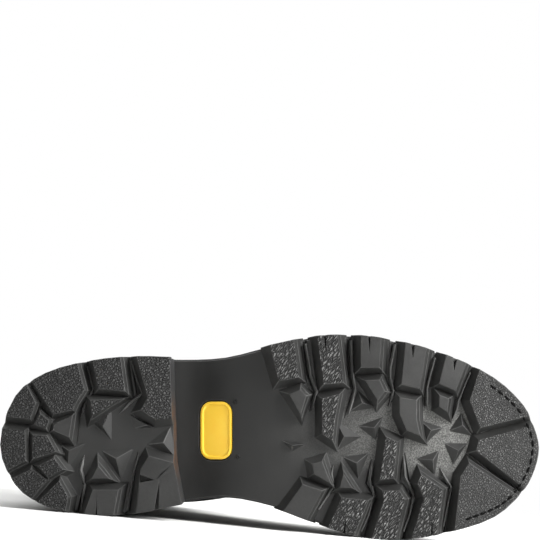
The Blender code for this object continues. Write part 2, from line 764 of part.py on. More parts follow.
def column_length(at, side):
    """Length that the grid columns divide: the section's own, with a run-on before the
    heel's corner that keeps the columns in line round it.
    """
    own = section(at)[side][0][-1]
    if not RUN_ON_FROM < at < HEEL_CORNER_AT:
        return own
    corner = section(HEEL_CORNER_AT)[side][0][-1]
    first = section(RUN_ON_FROM)[side][0][-1]
    span = HEEL_CORNER_AT - RUN_ON_FROM
    bend = (corner - first - RUN_ON_SLOPE * span) / span ** 2
    away = HEEL_CORNER_AT - at
    return max(own, corner - RUN_ON_SLOPE * away - bend * away ** 2)


def shares(row, side):
    """Grid columns down one side: eyestay first, with a pair of columns at its step."""
    length = section(row)[side][0][-1] - throat_half(row, side)
    stay = min(STAY_WIDTH / length, 0.34)
    step = min(STEP_RUN / length, 0.02)
    near = [0, stay * 0.5, stay, stay + step]
    rest = 1 - (1 - near[-1]) * np.linspace(1, 0, 8)[1:] ** 1.5
    stretch = column_length(row, side) / section(row)[side][0][-1]
    return near + [min(share * stretch, 1.0) for share in rest]


UPPER_ROWS = (
    0, 1, 2, 2.6, 3.3, 4, 5, 6, 7, 8, THROAT_AT, THROAT_AT + 0.05,
    9.5, 10.5, 11.5, 12.5, 13.5, 14.5, 15.5, 16.1, 16.5, 16.85, 17, 18, 19, 20, 21.5, 23,
    COLLAR_AT - COLLAR_BAND, COLLAR_AT - COLLAR_BAND + 0.04, COLLAR_AT - 1.2, COLLAR_AT,
)
STAY_COLUMN = 2
CENTRE_COLUMNS = 4


def wall_at(row, column):
    """Thickness of the wall, with its overlays as steps."""
    thickness = WALL
    if row > THROAT_AT:
        thickness += QUARTER_STEP
        if column <= STAY_COLUMN:
            thickness += STAY_STEP
    if row > COLLAR_AT - COLLAR_BAND:
        thickness += COLLAR_STEP
    return thickness


def solidify(piece, thickness, offset, group_name=""):
    made = piece.modifiers.new("wall", "SOLIDIFY")
    made.thickness = thickness * MM
    made.offset = offset
    made.use_quality_normals = True
    made.vertex_group = group_name


def grid_faces(rows, columns, first=0):
    return [
        (first + r * columns + c, first + r * columns + c + 1,
         first + (r + 1) * columns + c + 1, first + (r + 1) * columns + c)
        for r in range(rows - 1) for c in range(columns - 1)
    ]


def upper_surface():
    """Inside of the upper as an open mesh, with the wall thickness of each point."""
    points = []
    thickness = []
    faces = []
    for side in (0, 1):
        first = len(points)
        columns = len(shares(UPPER_ROWS[0], side))
        for row in UPPER_ROWS:
            for column, share in enumerate(shares(row, side)):
                points.append(on_side(swept(row, share), side, share))
                thickness.append(wall_at(row, column))
        faces += grid_faces(len(UPPER_ROWS), columns, first)
    vamp = [row for row in UPPER_ROWS if row <= THROAT_AT]
    first = len(points)
    for row in vamp:
        for column in range(CENTRE_COLUMNS + 1):
            across = 2 * column / CENTRE_COLUMNS - 1
            side = 0 if across < 0 else 1
            points.append(on_arc(row, side, abs(across) * throat_half(row, side)))
            thickness.append(WALL)
    faces += grid_faces(len(vamp), CENTRE_COLUMNS + 1, first)
    return points, thickness, faces


def open_mesh(name, points, faces, values, outwards):
    """Open surface with a value kept for each point, facing a given way at one point."""
    bm = bmesh.new()
    layer = bm.verts.layers.float.new("wall")
    made = []
    for point, value in zip(points, values):
        vert = bm.verts.new(point)
        vert[layer] = value
        made.append(vert)
    for face in faces:
        bm.faces.new([made[index] for index in face])
    bmesh.ops.remove_doubles(bm, verts=bm.verts, dist=0.02)
    loose = [face for face in bm.faces if face.calc_area() < 1e-4]
    bmesh.ops.delete(bm, geom=loose, context="FACES_ONLY")
    bmesh.ops.triangulate(bm, faces=bm.faces, quad_method="SHORT_EDGE")
    bmesh.ops.recalc_face_normals(bm, faces=bm.faces)
    probe = min(bm.faces, key=lambda face: (face.calc_center_median() - outwards[0]).length)
    if probe.normal.dot(outwards[1]) < 0:
        bmesh.ops.reverse_faces(bm, faces=bm.faces)
    mesh = bpy.data.meshes.new(name)
    bm.to_mesh(mesh)
    kept = [vert[layer] for vert in bm.verts]
    bm.free()
    return mesh, kept


def thick_piece(name, points, faces, values, probe, where, finish):
    """Open surface given a wall outwards: thickness from each point's value."""
    mesh, kept = open_mesh(name, points, faces, values, probe)
    piece = add(name, mesh, where, finish)
    most = max(kept)
    weights = piece.vertex_groups.new(name="wall")
    for index, value in enumerate(kept):
        weights.add([index], value / most, "REPLACE")
    solidify(piece, most, 1.0, "wall")
    return piece


def probe_at(at, side, share):
    return Vector(on_side(at, side, share)), Vector(normal_at(at, side, share))


def below_welt_cutter():
    """Everything below the lower edge of the upper."""
    past = 20.0
    stations = np.linspace(-past, TOE_END[0] + past, 60)
    points = []
    for x in stations:
        top = feather(min(max(x, 0), TOE_END[0]))
        for y, z in ((-1, CUT_LOW), (1, CUT_LOW), (1, top), (-1, top)):
            points.append((x, y * CUT_SIDE, z))
    last = len(points) - 4
    caps = [range(4), range(last, last + 4)]
    mesh = mesh_from("below_welt", points, walls(len(stations), 4) + caps)
    return add("below_welt", mesh, CUTTERS)


def eyelet_places():
    """Centre and outward direction of each eyelet, from the vamp up, for both sides."""
    places = []
    for side in (0, 1):
        spots = np.linspace(THROAT_AT + 0.3, COLLAR_AT - 0.25, 400)
        line = []
        for at in spots:
            share = EYELET_IN / (section(at)[side][0][-1] - throat_half(at, side))
            line.append((at, share, on_side(at, side, share)))
        steps = [np.linalg.norm(b[2] - a[2]) for a, b in zip(line, line[1:])]
        arcs = np.concatenate([[0], np.cumsum(steps)])
        rows = []
        for arc in np.linspace(FIRST_EYELET, arcs[-1] - LAST_EYELET, EYELETS):
            at, share, point = line[int(np.searchsorted(arcs, arc))]
            rows.append((at, Vector(point), Vector(normal_at(at, side, share))))
        places.append(rows)
    return places


EYELET_PLACES = eyelet_places()
EYELET_BORE = 2.6
EYELET_BARREL = 3.2
EYELET_FLANGE = 5.4
EYELET_DOME = 1.0
EYELET_SEAT = 0.5
EYELET_STEPS = 8
HOLE_DEPTH = 24.0


def facing(point, direction):
    return Matrix.Translation(point) @ direction.to_track_quat("Z", "Y").to_matrix().to_4x4()


def upper_shell(name, extra, where, finish):
    """The upper's wall before it is trimmed, with some extra thickness."""
    points, thickness, faces = upper_surface()
    values = [value + extra for value in thickness]
    return thick_piece(name, points, faces, values, probe_at(7, 0, 0.4), where, finish)


def make_upper():
    upper = upper_shell("upper", 0.0, PIECES, LEATHER)
    boolean(upper, "DIFFERENCE", below_welt_cutter())
    holes = group("eyelet_holes")
    for side, rows in zip(("lateral", "medial"), EYELET_PLACES):
        for number, (_, point, direction) in enumerate(rows, 1):
            bm = bmesh.new()
            bmesh.ops.create_cone(
                bm, cap_ends=True, segments=EYELET_STEPS, depth=HOLE_DEPTH,
                radius1=EYELET_BARREL + GAP, radius2=EYELET_BARREL + GAP,
            )
            mesh = bpy.data.meshes.new("hole")
            bm.to_mesh(mesh)
            bm.free()
            mesh.transform(facing(point, direction))
            add(f"hole_{side}_{number}", mesh, holes)
    boolean(upper, "DIFFERENCE", holes)


def make_eyelets():
    turns = np.arange(EYELET_STEPS) * 2 * math.pi / EYELET_STEPS
    for side, rows in zip(("lateral", "medial"), EYELET_PLACES):
        for number, (at, point, direction) in enumerate(rows, 1):
            top = wall_at(at, 0) + EYELET_SEAT
            profile = (
                (EYELET_BORE, top + EYELET_DOME), (EYELET_FLANGE, top),
                (EYELET_BARREL, top), (EYELET_BARREL, 0.1), (EYELET_BORE, 0.1),
            )
            points = [
                (radius * math.cos(turn), radius * math.sin(turn), z)
                for turn in turns for radius, z in profile
            ]
            points += points[:len(profile)]
            mesh = mesh_from("eyelet", points, walls(EYELET_STEPS + 1, len(profile)), merge=0.001)
            mesh.transform(facing(point, direction))
            add(f"eyelet_{side}_{number}", mesh, PIECES, BRASS)


def counter_point(at, side, share, lift):
    """Point over the quarters, shared by both sides along the back seam."""
    near = min(share, 0.97)
    outwards = normal_at(at, side, near)
    if share > 0.999 and at > HEEL_CORNER_AT - 0.01:
        outwards = outwards + normal_at(at, 1 - side, near)
        outwards /= np.linalg.norm(outwards)
    return on_side(at, side, share) + outwards * lift


def make_counter():
    """Heel counter, cut from a thicker form by the outside of the quarters."""
    buried = 1.2
    lift = WALL + QUARTER_STEP - buried
    thickness = buried + GAP + COUNTER_THICKNESS
    stations = (13.2, 13.5, 14, 14.7, 15.4, 16.1, 16.5, 16.85, 17, 17.5, 18.2, 19, 19.8, 20.5, 21, 21.6)
    columns = (0.0, 0.1, 0.22, 0.38, 0.58, 0.8, 1.0)
    points = []
    faces = []
    for side in (0, 1):
        first = len(points)
        for at in stations:
            own = section(at)[side][0][-1]
            low = column_length(at, side)
            for column in columns:
                arc = low - smooth(COUNTER, at) * column
                points.append(counter_point(at, side, min(arc / own, 1.0), lift))
        faces += grid_faces(len(stations), len(columns), first)
    counter = thick_piece(
        "counter", points, faces, [thickness] * len(points),
        probe_at(16, 0, 0.9), PIECES, LEATHER,
    )
    boolean(counter, "DIFFERENCE", upper_shell("upper_clearance", GAP, CUTTERS, None))
    boolean(counter, "DIFFERENCE", bpy.data.objects["below_welt"])


def make_tongue():
    stations = np.linspace(THROAT_AT - 0.6, COLLAR_AT + 0.85, 16)
    columns = 7
    points = []
    for at in stations:
        half = np.interp(at, (stations[0], TONGUE_FULL_AT), (TONGUE_ROOT_HALF, TONGUE_HALF))
        for across in np.linspace(-1, 1, columns):
            side = 0 if across < 0 else 1
            points.append(on_arc(at, side, abs(across) * half))
    faces = grid_faces(len(stations), columns)
    mesh, _ = open_mesh("tongue", points, faces, [0.0] * len(points), probe_at(14, 0, 0.0))
    bm = bmesh.new()
    bm.from_mesh(mesh)
    bm.normal_update()
    for vert in bm.verts:
        vert.co -= vert.normal * TONGUE_DEPTH
    bm.to_mesh(mesh)
    bm.free()
    tongue = add("tongue", mesh, PIECES, LEATHER)
    solidify(tongue, TONGUE_THICKNESS, -1.0)


def lace_height(at, across):
    """Distance of the lace's middle above the last: low over the tongue, high at the eyelets."""
    over_tongue = 5.0
    at_eyelet = wall_at(at, 0) + EYELET_DOME + LACE_CLEARANCE + LACE_RADIUS
    return over_tongue + (at_eyelet - over_tongue) * abs(across) ** 0.6


def lace_point(at, across):
    """Point above the throat: across runs from the lateral (-1) to the medial (1) eyelets."""
    side = 0 if across < 0 else 1
    arc = abs(across) * (throat_half(at, side) + EYELET_IN)
    point = on_arc(at, side, arc)
    share_normal = normal_at(at, side, 0.0)
    ridge = normal_at(at, 0, 0.0) + normal_at(at, 1, 0.0)
    blend = min(abs(across) * 1.2, 1.0)
    facing_out = share_normal * blend + ridge / np.linalg.norm(ridge) * (1 - blend)
    return point + facing_out / np.linalg.norm(facing_out) * lace_height(at, across)


def lace_mesh(name, route):
    """Tube along a route, as a closed mesh."""
    curve = bpy.data.curves.new(name, "CURVE")
    curve.dimensions = "3D"
    curve.bevel_depth = LACE_RADIUS
    curve.bevel_resolution = 1
    curve.use_fill_caps = True
    spline = curve.splines.new("POLY")
    spline.points.add(len(route) - 1)
    for target, point in zip(spline.points, route):
        target.co = (*point, 1)
    guide = bpy.data.objects.new(name, curve)
    CUTTERS.objects.link(guide)
    graph = bpy.context.evaluated_depsgraph_get()
    mesh = bpy.data.meshes.new_from_object(guide.evaluated_get(graph))
    bpy.data.objects.remove(guide, do_unlink=True)
    bm = bmesh.new()
    bm.from_mesh(mesh)
    bmesh.ops.remove_doubles(bm, verts=bm.verts, dist=0.001)
    bm.to_mesh(mesh)
    bm.free()
    return mesh


def lace_route(start):
    """One strand up the throat, turning at each eyelet, from the given side."""
    rows = [row[0] for row in EYELET_PLACES[0]]
    turn = 0.16
    leaves = 0.92
    route = []
    for number in range(EYELETS - 1):
        side = start * (-1) ** number
        low = rows[number] + (turn if number else 0.0)
        high = rows[number + 1] - turn
        for u in (0.0, 0.33, 0.67, 1.0):
            route.append(lace_point(low + (high - low) * u, side * leaves * (1 - 2 * u)))
        route.append(lace_point(rows[number + 1], -side))
    return route


def make_lace():
    rows = [row[0] for row in EYELET_PLACES[0]]
    bar = [lace_point(rows[0], across) for across in (0.96, 0.5, 0.0, -0.5, -0.96)]
    lateral = lace_route(-1)
    lace = add("lace", lace_mesh("lace", bar + lateral[1:]), PIECES, CORD)
    other = add("lace_other", lace_mesh("lace_other", lace_route(1)), CUTTERS)
    boolean(lace, "UNION", other)


# Laying the boot down
def resting_turn(points):
    """Rotation that lays the boot on the hull face under its middle, medial side down."""
    bm = bmesh.new()
    for point in points:
        bm.verts.new(point)
    hull = bmesh.ops.convex_hull(bm, input=bm.verts)
    spare = {item for item in hull["geom_interior"] if isinstance(item, bmesh.types.BMVert)}
    bmesh.ops.delete(bm, geom=list(spare), context="VERTS")
    bmesh.ops.recalc_face_normals(bm, faces=bm.faces)
    middle = Vector(np.mean(points, axis=0))
    _, normal, _, _ = BVHTree.FromBMesh(bm).ray_cast(middle, Vector((0, 1, 0)))
    bm.free()
    lay = Matrix.Rotation(-math.pi / 2, 3, "X")
    down = Vector((0, 0, -1))
    return (lay @ normal).rotation_difference(down).to_matrix() @ lay


def lay_down():
    bpy.context.view_layer.update()
    graph = bpy.context.evaluated_depsgraph_get()
    points = []
    for piece in PIECES.objects:
        mesh = piece.evaluated_get(graph).to_mesh()
        points += [tuple(vert.co) for vert in mesh.vertices]
    points = np.array(points)
    turn = resting_turn(points)
    laid = points @ np.array(turn).T
    low = laid.min(axis=0)
    high = laid.max(axis=0)
    shift = Vector((-(low[0] + high[0]) / 2, -(low[1] + high[1]) / 2, -low[2]))
    rest = bpy.data.objects.new("laid_on_its_side", None)
    PIECES.objects.link(rest)
    rest.matrix_world = Matrix.Translation(shift) @ turn.to_4x4()
    for made in bpy.data.objects:
        if made != rest:
            made.parent = rest


make_outsole()
make_heel()
make_inlay()
make_welt_and_insole()
make_upper()
make_counter()
make_tongue()
make_eyelets()
make_lace()
lay_down()
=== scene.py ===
"""Lace-up work boot for the right foot, lying on its inner side with its tread to the camera.

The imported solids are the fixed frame. Each section makes one piece, or one group of like
pieces, in the boot's own standing millimetres: X to the toe, Y to the inner side, Z up.
The pieces are then laid down where the solids lie.
"""
import json
import math

import bmesh
import bpy
import numpy as np
from mathutils import Matrix, Vector
from mathutils.bvhtree import BVHTree


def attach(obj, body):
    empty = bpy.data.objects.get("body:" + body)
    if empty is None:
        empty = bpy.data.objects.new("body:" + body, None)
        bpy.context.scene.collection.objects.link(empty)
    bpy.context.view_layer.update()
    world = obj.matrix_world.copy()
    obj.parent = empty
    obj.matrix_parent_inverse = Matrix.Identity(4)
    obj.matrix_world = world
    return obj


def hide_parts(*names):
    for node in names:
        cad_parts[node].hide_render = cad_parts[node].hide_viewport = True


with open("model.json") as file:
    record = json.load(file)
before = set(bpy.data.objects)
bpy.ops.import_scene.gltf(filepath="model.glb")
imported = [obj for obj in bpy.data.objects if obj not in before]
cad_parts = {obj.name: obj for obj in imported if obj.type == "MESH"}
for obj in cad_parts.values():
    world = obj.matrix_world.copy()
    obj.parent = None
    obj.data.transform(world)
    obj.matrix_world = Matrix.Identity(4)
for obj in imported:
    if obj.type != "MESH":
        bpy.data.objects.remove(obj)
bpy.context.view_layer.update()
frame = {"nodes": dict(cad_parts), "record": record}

# Studio: the boot lies on a pale sweep, in even light from a tall softbox at the toe.
# The camera faces the tread squarely through a long lens, and is rolled with the boot.
MM = 0.001
# The two flats of the tread on the standing boot
HEEL_SPOT = Vector((95.0, 33.0, 0.0))
BALL_SPOT = Vector((187.5, -40.0, 0.0))


def standing_to_lying():
    """Matrix from standing millimetres to the lying boot, from the two flats of its tread."""
    spots = {mount["name"]: mount for mount in frame["record"]["mounts"]}
    heel = Vector(spots["heel_tread"]["pos_m"])
    ball = Vector(spots["forefoot_tread"]["pos_m"])
    up = -Vector(spots["heel_tread"]["axis"]).normalized()
    along = (ball - heel).normalized()
    laid = Matrix((along, up.cross(along), up)).transposed()
    ahead = (BALL_SPOT - HEEL_SPOT).normalized()
    standing = Matrix((ahead, Vector((0, 0, 1)).cross(ahead), Vector((0, 0, 1))))
    turn = (laid @ standing).to_4x4()
    return Matrix.Translation(heel) @ turn @ Matrix.Scale(MM, 4) @ Matrix.Translation(-HEEL_SPOT)


LIE = standing_to_lying()
STAND = LIE.inverted()
PHOTO_SIDE = 540
MM_PER_PIXEL = 0.565
MIDDLE_ROW = 436
CAMERA_AWAY = 1500.0
CAMERA_SIGHT = 50.0
SENSOR = 36.0


def lying(direction):
    """A direction of the standing boot, turned as the boot lies."""
    return (LIE.to_3x3() @ Vector(direction)).normalized()


def put(name, data):
    """New object in the scene."""
    made = bpy.data.objects.new(name, data)
    bpy.context.scene.collection.objects.link(made)
    return made


def aim_camera():
    """Sets the camera square to the tread, at the photo's scale and height in the picture."""
    half = PHOTO_SIDE / 2
    middle = half * MM_PER_PIXEL
    place = LIE @ Vector((middle, 0, -CAMERA_AWAY))
    target = LIE @ Vector((middle, (half - MIDDLE_ROW) * MM_PER_PIXEL, 0))
    back = (place - target).normalized()
    right = lying((1, 0, 0))
    turn = Matrix((right, back.cross(right), back)).transposed().to_4x4()
    data = bpy.data.cameras.new("camera")
    camera = put("camera", data)
    camera.matrix_world = Matrix.Translation(place) @ turn
    depth = CAMERA_AWAY * math.cos(math.atan2((MIDDLE_ROW - half) * MM_PER_PIXEL, CAMERA_AWAY))
    data.sensor_width = SENSOR
    data.lens = depth / MM_PER_PIXEL / PHOTO_SIDE * SENSOR
    data.clip_end = CAMERA_SIGHT
    bpy.context.scene.camera = camera


aim_camera()


class Wire:
    """A node's output. Arithmetic on wires and numbers adds Math nodes."""

    def __init__(self, tree, socket=None):
        self.tree = tree
        self.socket = socket

    def node(self, kind, settings=None, sockets=None, out=0):
        """Adds a node: its settings first, then a value or a wire for each named socket."""
        made = self.tree.nodes.new(kind)
        for name, value in (settings or {}).items():
            setattr(made, name, value)
        for name, value in (sockets or {}).items():
            if isinstance(value, Wire):
                self.tree.links.new(value.socket, made.inputs[name])
            elif isinstance(value, tuple) and len(made.inputs[name].default_value) == 4:
                made.inputs[name].default_value = (*value, 1)
            else:
                made.inputs[name].default_value = value
        return Wire(self.tree, made.outputs[out])

    def maths(self, operation, first, second=0.0):
        """Adds a Math node."""
        return self.node("ShaderNodeMath", {"operation": operation}, {0: first, 1: second})

    def __add__(self, other):
        return self.maths("ADD", self, other)

    def __radd__(self, other):
        return self.maths("ADD", other, self)

    def __sub__(self, other):
        return self.maths("SUBTRACT", self, other)

    def __rsub__(self, other):
        return self.maths("SUBTRACT", other, self)

    def __mul__(self, other):
        return self.maths("MULTIPLY", self, other)

    def __rmul__(self, other):
        return self.maths("MULTIPLY", other, self)

    def __truediv__(self, other):
        return self.maths("DIVIDE", self, other)

    def __rtruediv__(self, other):
        return self.maths("DIVIDE", other, self)


def finish_nodes(name):
    """New material with its tree as a wire, its shader node and its Object coordinates."""
    made = bpy.data.materials.new(name)
    made.use_nodes = True
    tree = made.node_tree
    wire = Wire(tree)
    place = wire.node("ShaderNodeTexCoord", out="Object")
    return made, wire, tree.nodes["Principled BSDF"], place


def noise(wire, place, scale, detail=2.0):
    """Cloudy pattern, for blooms, naps and specks."""
    return wire.node("ShaderNodeTexNoise", {}, {"Vector": place, "Scale": scale, "Detail": detail})


def cells(wire, place, scale, feature):
    """Distance pattern of cells, for grain."""
    sockets = {"Vector": place, "Scale": scale}
    return wire.node("ShaderNodeTexVoronoi", {"feature": feature}, sockets, "Distance")


def rise(wire, value, low, high, start=0.0, end=1.0):
    """Smooth step of a value from start to end between low and high."""
    settings = {"interpolation_type": "SMOOTHSTEP"}
    sockets = {"Value": value, "From Min": low, "From Max": high, "To Min": start, "To Max": end}
    return wire.node("ShaderNodeMapRange", settings, sockets)


def blend(wire, share, first, second):
    """Mix of two colours."""
    return wire.node("ShaderNodeMix", {"data_type": "RGBA"}, {0: share, 6: first, 7: second}, out=2)


def feed(wire, shader, colour, roughness=None, height=None, depth=0.0):
    """Feeds the sockets that vary over a surface, and a bump from a height."""
    wire.tree.links.new(colour.socket, shader.inputs["Base Color"])
    if roughness is not None:
        wire.tree.links.new(roughness.socket, shader.inputs["Roughness"])
    if height is not None:
        bump = wire.node("ShaderNodeBump", {}, {"Height": height, "Distance": depth})
        wire.tree.links.new(bump.socket, shader.inputs["Normal"])


FLOOR_FLAT = 2.8
SWEEP_RADIUS = 1.2
SWEEP_HIGH = 2.6
SWEEP_BENDS = 9
SWEEP_SIDES = 64
PALE = (0.86, 0.86, 0.85)
FADE = (0.3, 0.75)


def sweep_finish():
    """Matt paper. Away from the boot it fades to plain white in the picture."""
    made, wire, shader, place = finish_nodes("pale_sweep")
    cloudy = noise(wire, place, 1.5)
    feed(wire, shader, blend(wire, cloudy, tuple(0.97 * shade for shade in PALE), PALE))
    shader.inputs["Roughness"].default_value = 0.9
    shader.inputs["Specular IOR Level"].default_value = 0.1
    away = wire.node("ShaderNodeVectorMath", {"operation": "LENGTH"}, {0: place}, "Value")
    seen = wire.node("ShaderNodeLightPath", out="Is Camera Ray")
    white = wire.node("ShaderNodeEmission", {}, {"Color": (1.0, 1.0, 1.0)})
    paper = Wire(wire.tree, shader.outputs["BSDF"])
    mixed = wire.node("ShaderNodeMixShader", {}, {0: seen * rise(wire, away, *FADE), 1: paper, 2: white})
    wire.tree.links.new(mixed.socket, wire.tree.nodes["Material Output"].inputs["Surface"])
    return made


def mesh_from(bm, name):
    """Plain mesh of a form that was built corner by corner."""
    mesh = bpy.data.meshes.new(name)
    bm.to_mesh(mesh)
    bm.free()
    return mesh


def make_sweep():
    """Round floor that curves up into a low wall, so that every view has a pale ground."""
    profile = [(0.0, 0.0), (FLOOR_FLAT, 0.0)]
    for turn in np.linspace(0, math.pi / 2, SWEEP_BENDS)[1:]:
        profile.append((FLOOR_FLAT + SWEEP_RADIUS * math.sin(turn), SWEEP_RADIUS * (1 - math.cos(turn))))
    profile.append((profile[-1][0], SWEEP_HIGH))
    bm = bmesh.new()
    rail = [bm.verts.new((reach, 0, height)) for reach, height in profile]
    edges = [bm.edges.new(pair) for pair in zip(rail, rail[1:])]
    bmesh.ops.spin(
        bm, geom=rail + edges, cent=(0, 0, 0), axis=(0, 0, 1),
        angle=2 * math.pi, steps=SWEEP_SIDES, use_merge=True,
    )
    bmesh.ops.remove_doubles(bm, verts=bm.verts, dist=0.1 * MM)
    bmesh.ops.recalc_face_normals(bm, faces=bm.faces)
    mesh = mesh_from(bm, "sweep")
    mesh.shade_smooth()
    mesh.materials.append(sweep_finish())
    put("sweep", mesh)


# Softboxes: name, place, width, height, power
SOFTBOXES = (
    ("toe_softbox", (0.85, -0.72, 0.7), 0.5, 0.8, 33.0),
    ("top_softbox", (0.3, 0.3, 2.2), 2.0, 2.0, 34.0),
    ("heel_softbox", (-1.7, -0.9, 1.0), 1.0, 1.4, 1.5),
    ("back_softbox", (-0.7, 1.9, 1.2), 1.4, 1.0, 22.0),
)
AIR_LIGHT = 0.25


def make_lights():
    """Hangs the softboxes, each turned to the boot, in an even white air."""
    for name, place, width, height, power in SOFTBOXES:
        data = bpy.data.lights.new(name, "AREA")
        data.shape = "RECTANGLE"
        data.size = width
        data.size_y = height
        data.energy = power
        lamp = put(name, data)
        lamp.location = place
        lamp.rotation_euler = (-Vector(place)).to_track_quat("-Z", "Y").to_euler()
    world = bpy.data.worlds.new("studio_air")
    world.use_nodes = True
    air = world.node_tree.nodes["Background"].inputs
    air["Color"].default_value = (1, 1, 1, 1)
    air["Strength"].default_value = AIR_LIGHT
    bpy.context.scene.world = world
    bpy.context.scene.view_settings.view_transform = "Standard"


make_sweep()
make_lights()

# Sole: outsole and heel are moulded from black rubber, the heel glued under the sole's seat.
# The mould is sanded between the lugs, polished on their walls and grained on most faces; the sanded
# floor's pale tone towards the toe is painted light.
EDGE_ROUND = 0.35
EDGE_CUT = 0.1
EDGE_ANGLE = 26.0
EDGE_STRAY = 0.5
WELD = 0.05
FLAT_ANGLE = 1.0
SOFT_ANGLE = 34.0
CRINKLE = (1.15, 1.15, 4.4)
CRINKLE_LEAN = 30.0
PEBBLE = (1.0, 1.0, 1.5)
HEEL_PEBBLE = (1.35, 1.35, 1.8)
GRAIN_WARP = 0.0013
# Run along the boot over which the grain's painted light rises towards the toe
GRAIN_TOE_LIGHT = (-0.17, 0.1)
FACE_LIMIT = 0.9
FLOOR_NEAR = 1.0
HEEL_HEIGHT = 28.0
BASE_THICKNESS = 7.0
LUG_DEPTH = 7.5
HEEL_LUG_DEPTH = 8.0
TOE_SPRING = 15.0
SPRING_STARTS = 205.0
HEEL_END = (0.0, -5.0)
TOE_END = (306.0, -7.0)
WAIST = (104.0, 164.0)
WAIST_BEFORE = 6.0
WAIST_LIMIT = 0.7
WAIST_NEAR = 1.5
CURVE_LIMIT = 0.75
CURVE_NEAR = 1.2
CURVE_REACH = 7.0
BREAST_FROM = 92.0
BREAST_TURN = 0.85
# Band across the sole of the floor's pale tone, painted light on a sandy grain: start and stop
LIT_SAND_STARTS = (0.034, 0.046)
LIT_SAND_STOPS = (0.084, 0.072)
GLUE = (0.06, 0.031, 0.018)
GLUE_STARTS = (0.02, 0.034)
GLUE_STOPS = (0.074, 0.058)
# Floor between the lugs under the waist: x, height
FLOOR = (
    (0, HEEL_HEIGHT), (60, HEEL_HEIGHT), (100, HEEL_HEIGHT), (110, HEEL_HEIGHT - 0.5),
    (120, 23.0), (135, 15.6), (147, 10.0), (160, LUG_DEPTH), (185, LUG_DEPTH),
)
# Lugs with a crinkled or a pebbled face, as corners of (x, way to the outer side)
CRINKLED_LUGS = (
    ((152, 54), (165.5, 57.5), (169, 33), (157.5, 31)),
    ((178.5, 63), (190, 63), (194, 30), (183, 29)),
    ((182, 21), (192, 23.5), (189, 8), (188, -3), (182, 1)),
    ((218, -0.5), (224.5, -3.5), (222.5, -24), (214.5, -25)),
    ((193, -35), (208, -36.5), (197.5, -62), (181, -61)),
    ((216, -31), (225.5, -31), (229, -36), (222, -64), (208, -64), (217, -36)),
    ((238, -22), (250.5, -30.5), (246, -62), (231, -62), (239.5, -35), (236, -27)),
)
PEBBLED_LUGS = (
    ((48, 60), (120, 60), (120, 8), (48, 8)),
    ((266, 50), (320, 50), (320, -65), (255, -65), (262, -20)),
    ((-5, 50), (45, 50), (48, 20), (30, 0), (40, -36), (36, -60), (-5, -60)),
)


def bend(u, here, there, leave, arrive):
    """Place at a share of a smooth span between two ends, from the headings there."""
    start = (1 + 2 * u) * (1 - u) ** 2 * here + u * (1 - u) ** 2 * leave
    return start + u * u * (3 - 2 * u) * there + u * u * (u - 1) * arrive


def smooth(table, at):
    """Smooth curve through rows of (position, values...), read at one position."""
    rows = np.asarray(table, float)
    x = rows[:, 0]
    y = rows[:, 1:]
    slopes = np.gradient(y, x, axis=0)
    at = min(max(at, x[0]), x[-1])
    low = int(np.clip(np.searchsorted(x, at) - 1, 0, len(x) - 2))
    span = x[low + 1] - x[low]
    value = bend((at - x[low]) / span, y[low], y[low + 1], span * slopes[low], span * slopes[low + 1])
    return float(value[0]) if len(value) == 1 else value


def tread(x):
    """Height of the lug faces, which rise at the toe."""
    spring = max(0.0, x - SPRING_STARTS) / (TOE_END[0] - SPRING_STARTS)
    return TOE_SPRING * spring * spring


def seat(x):
    """Top of the outsole, which the welt and the insole lie on."""
    floor = smooth(FLOOR, x) if x < FLOOR[-1][0] else tread(x) + LUG_DEPTH
    return floor + BASE_THICKNESS


def floor_slope(x, reach):
    """Slope of the waist's floor, taken over a reach to either side."""
    return (smooth(FLOOR, x + reach) - smooth(FLOOR, x - reach)) / (2 * reach)


def inside(x, out, corners):
    """Whether a place is inside a polygon."""
    crossings = 0
    for (ax, ay), (bx, by) in zip(corners, corners[1:] + corners[:1]):
        if (ay > out) != (by > out) and x < ax + (out - ay) / (by - ay) * (bx - ax):
            crossings += 1
    return crossings % 2 == 1


def split_place(wire, place):
    """The three coordinates of a place as wires."""
    parts = wire.node("ShaderNodeSeparateXYZ", {}, {"Vector": place}).socket.node
    return [Wire(wire.tree, parts.outputs[axis]) for axis in "XYZ"]


def satin_rubber(name, dark, light, glue=None):
    """Smooth moulded rubber with a faint bloom, and a smear of glue where one is given."""
    made, wire, shader, place = finish_nodes(name)
    bloom = noise(wire, place, 45.0, 4.0)
    speck = noise(wire, place, 700.0, 3.0)
    colour = blend(wire, rise(wire, bloom * 0.7 + speck * 0.3, 0.35, 0.7), dark, light)
    if glue:
        _, _, up = split_place(wire, place)
        smear = rise(wire, up, *GLUE_STARTS) * rise(wire, up, *GLUE_STOPS)
        colour = blend(wire, smear * rise(wire, noise(wire, place, 190.0, 4.0), 0.36, 0.58), colour, glue)
    feed(wire, shader, colour, 0.58 + (bloom - 0.5) * 0.2 + (speck - 0.5) * 0.12, speck, 0.00007)
    shader.inputs["Specular IOR Level"].default_value = 0.36
    return made


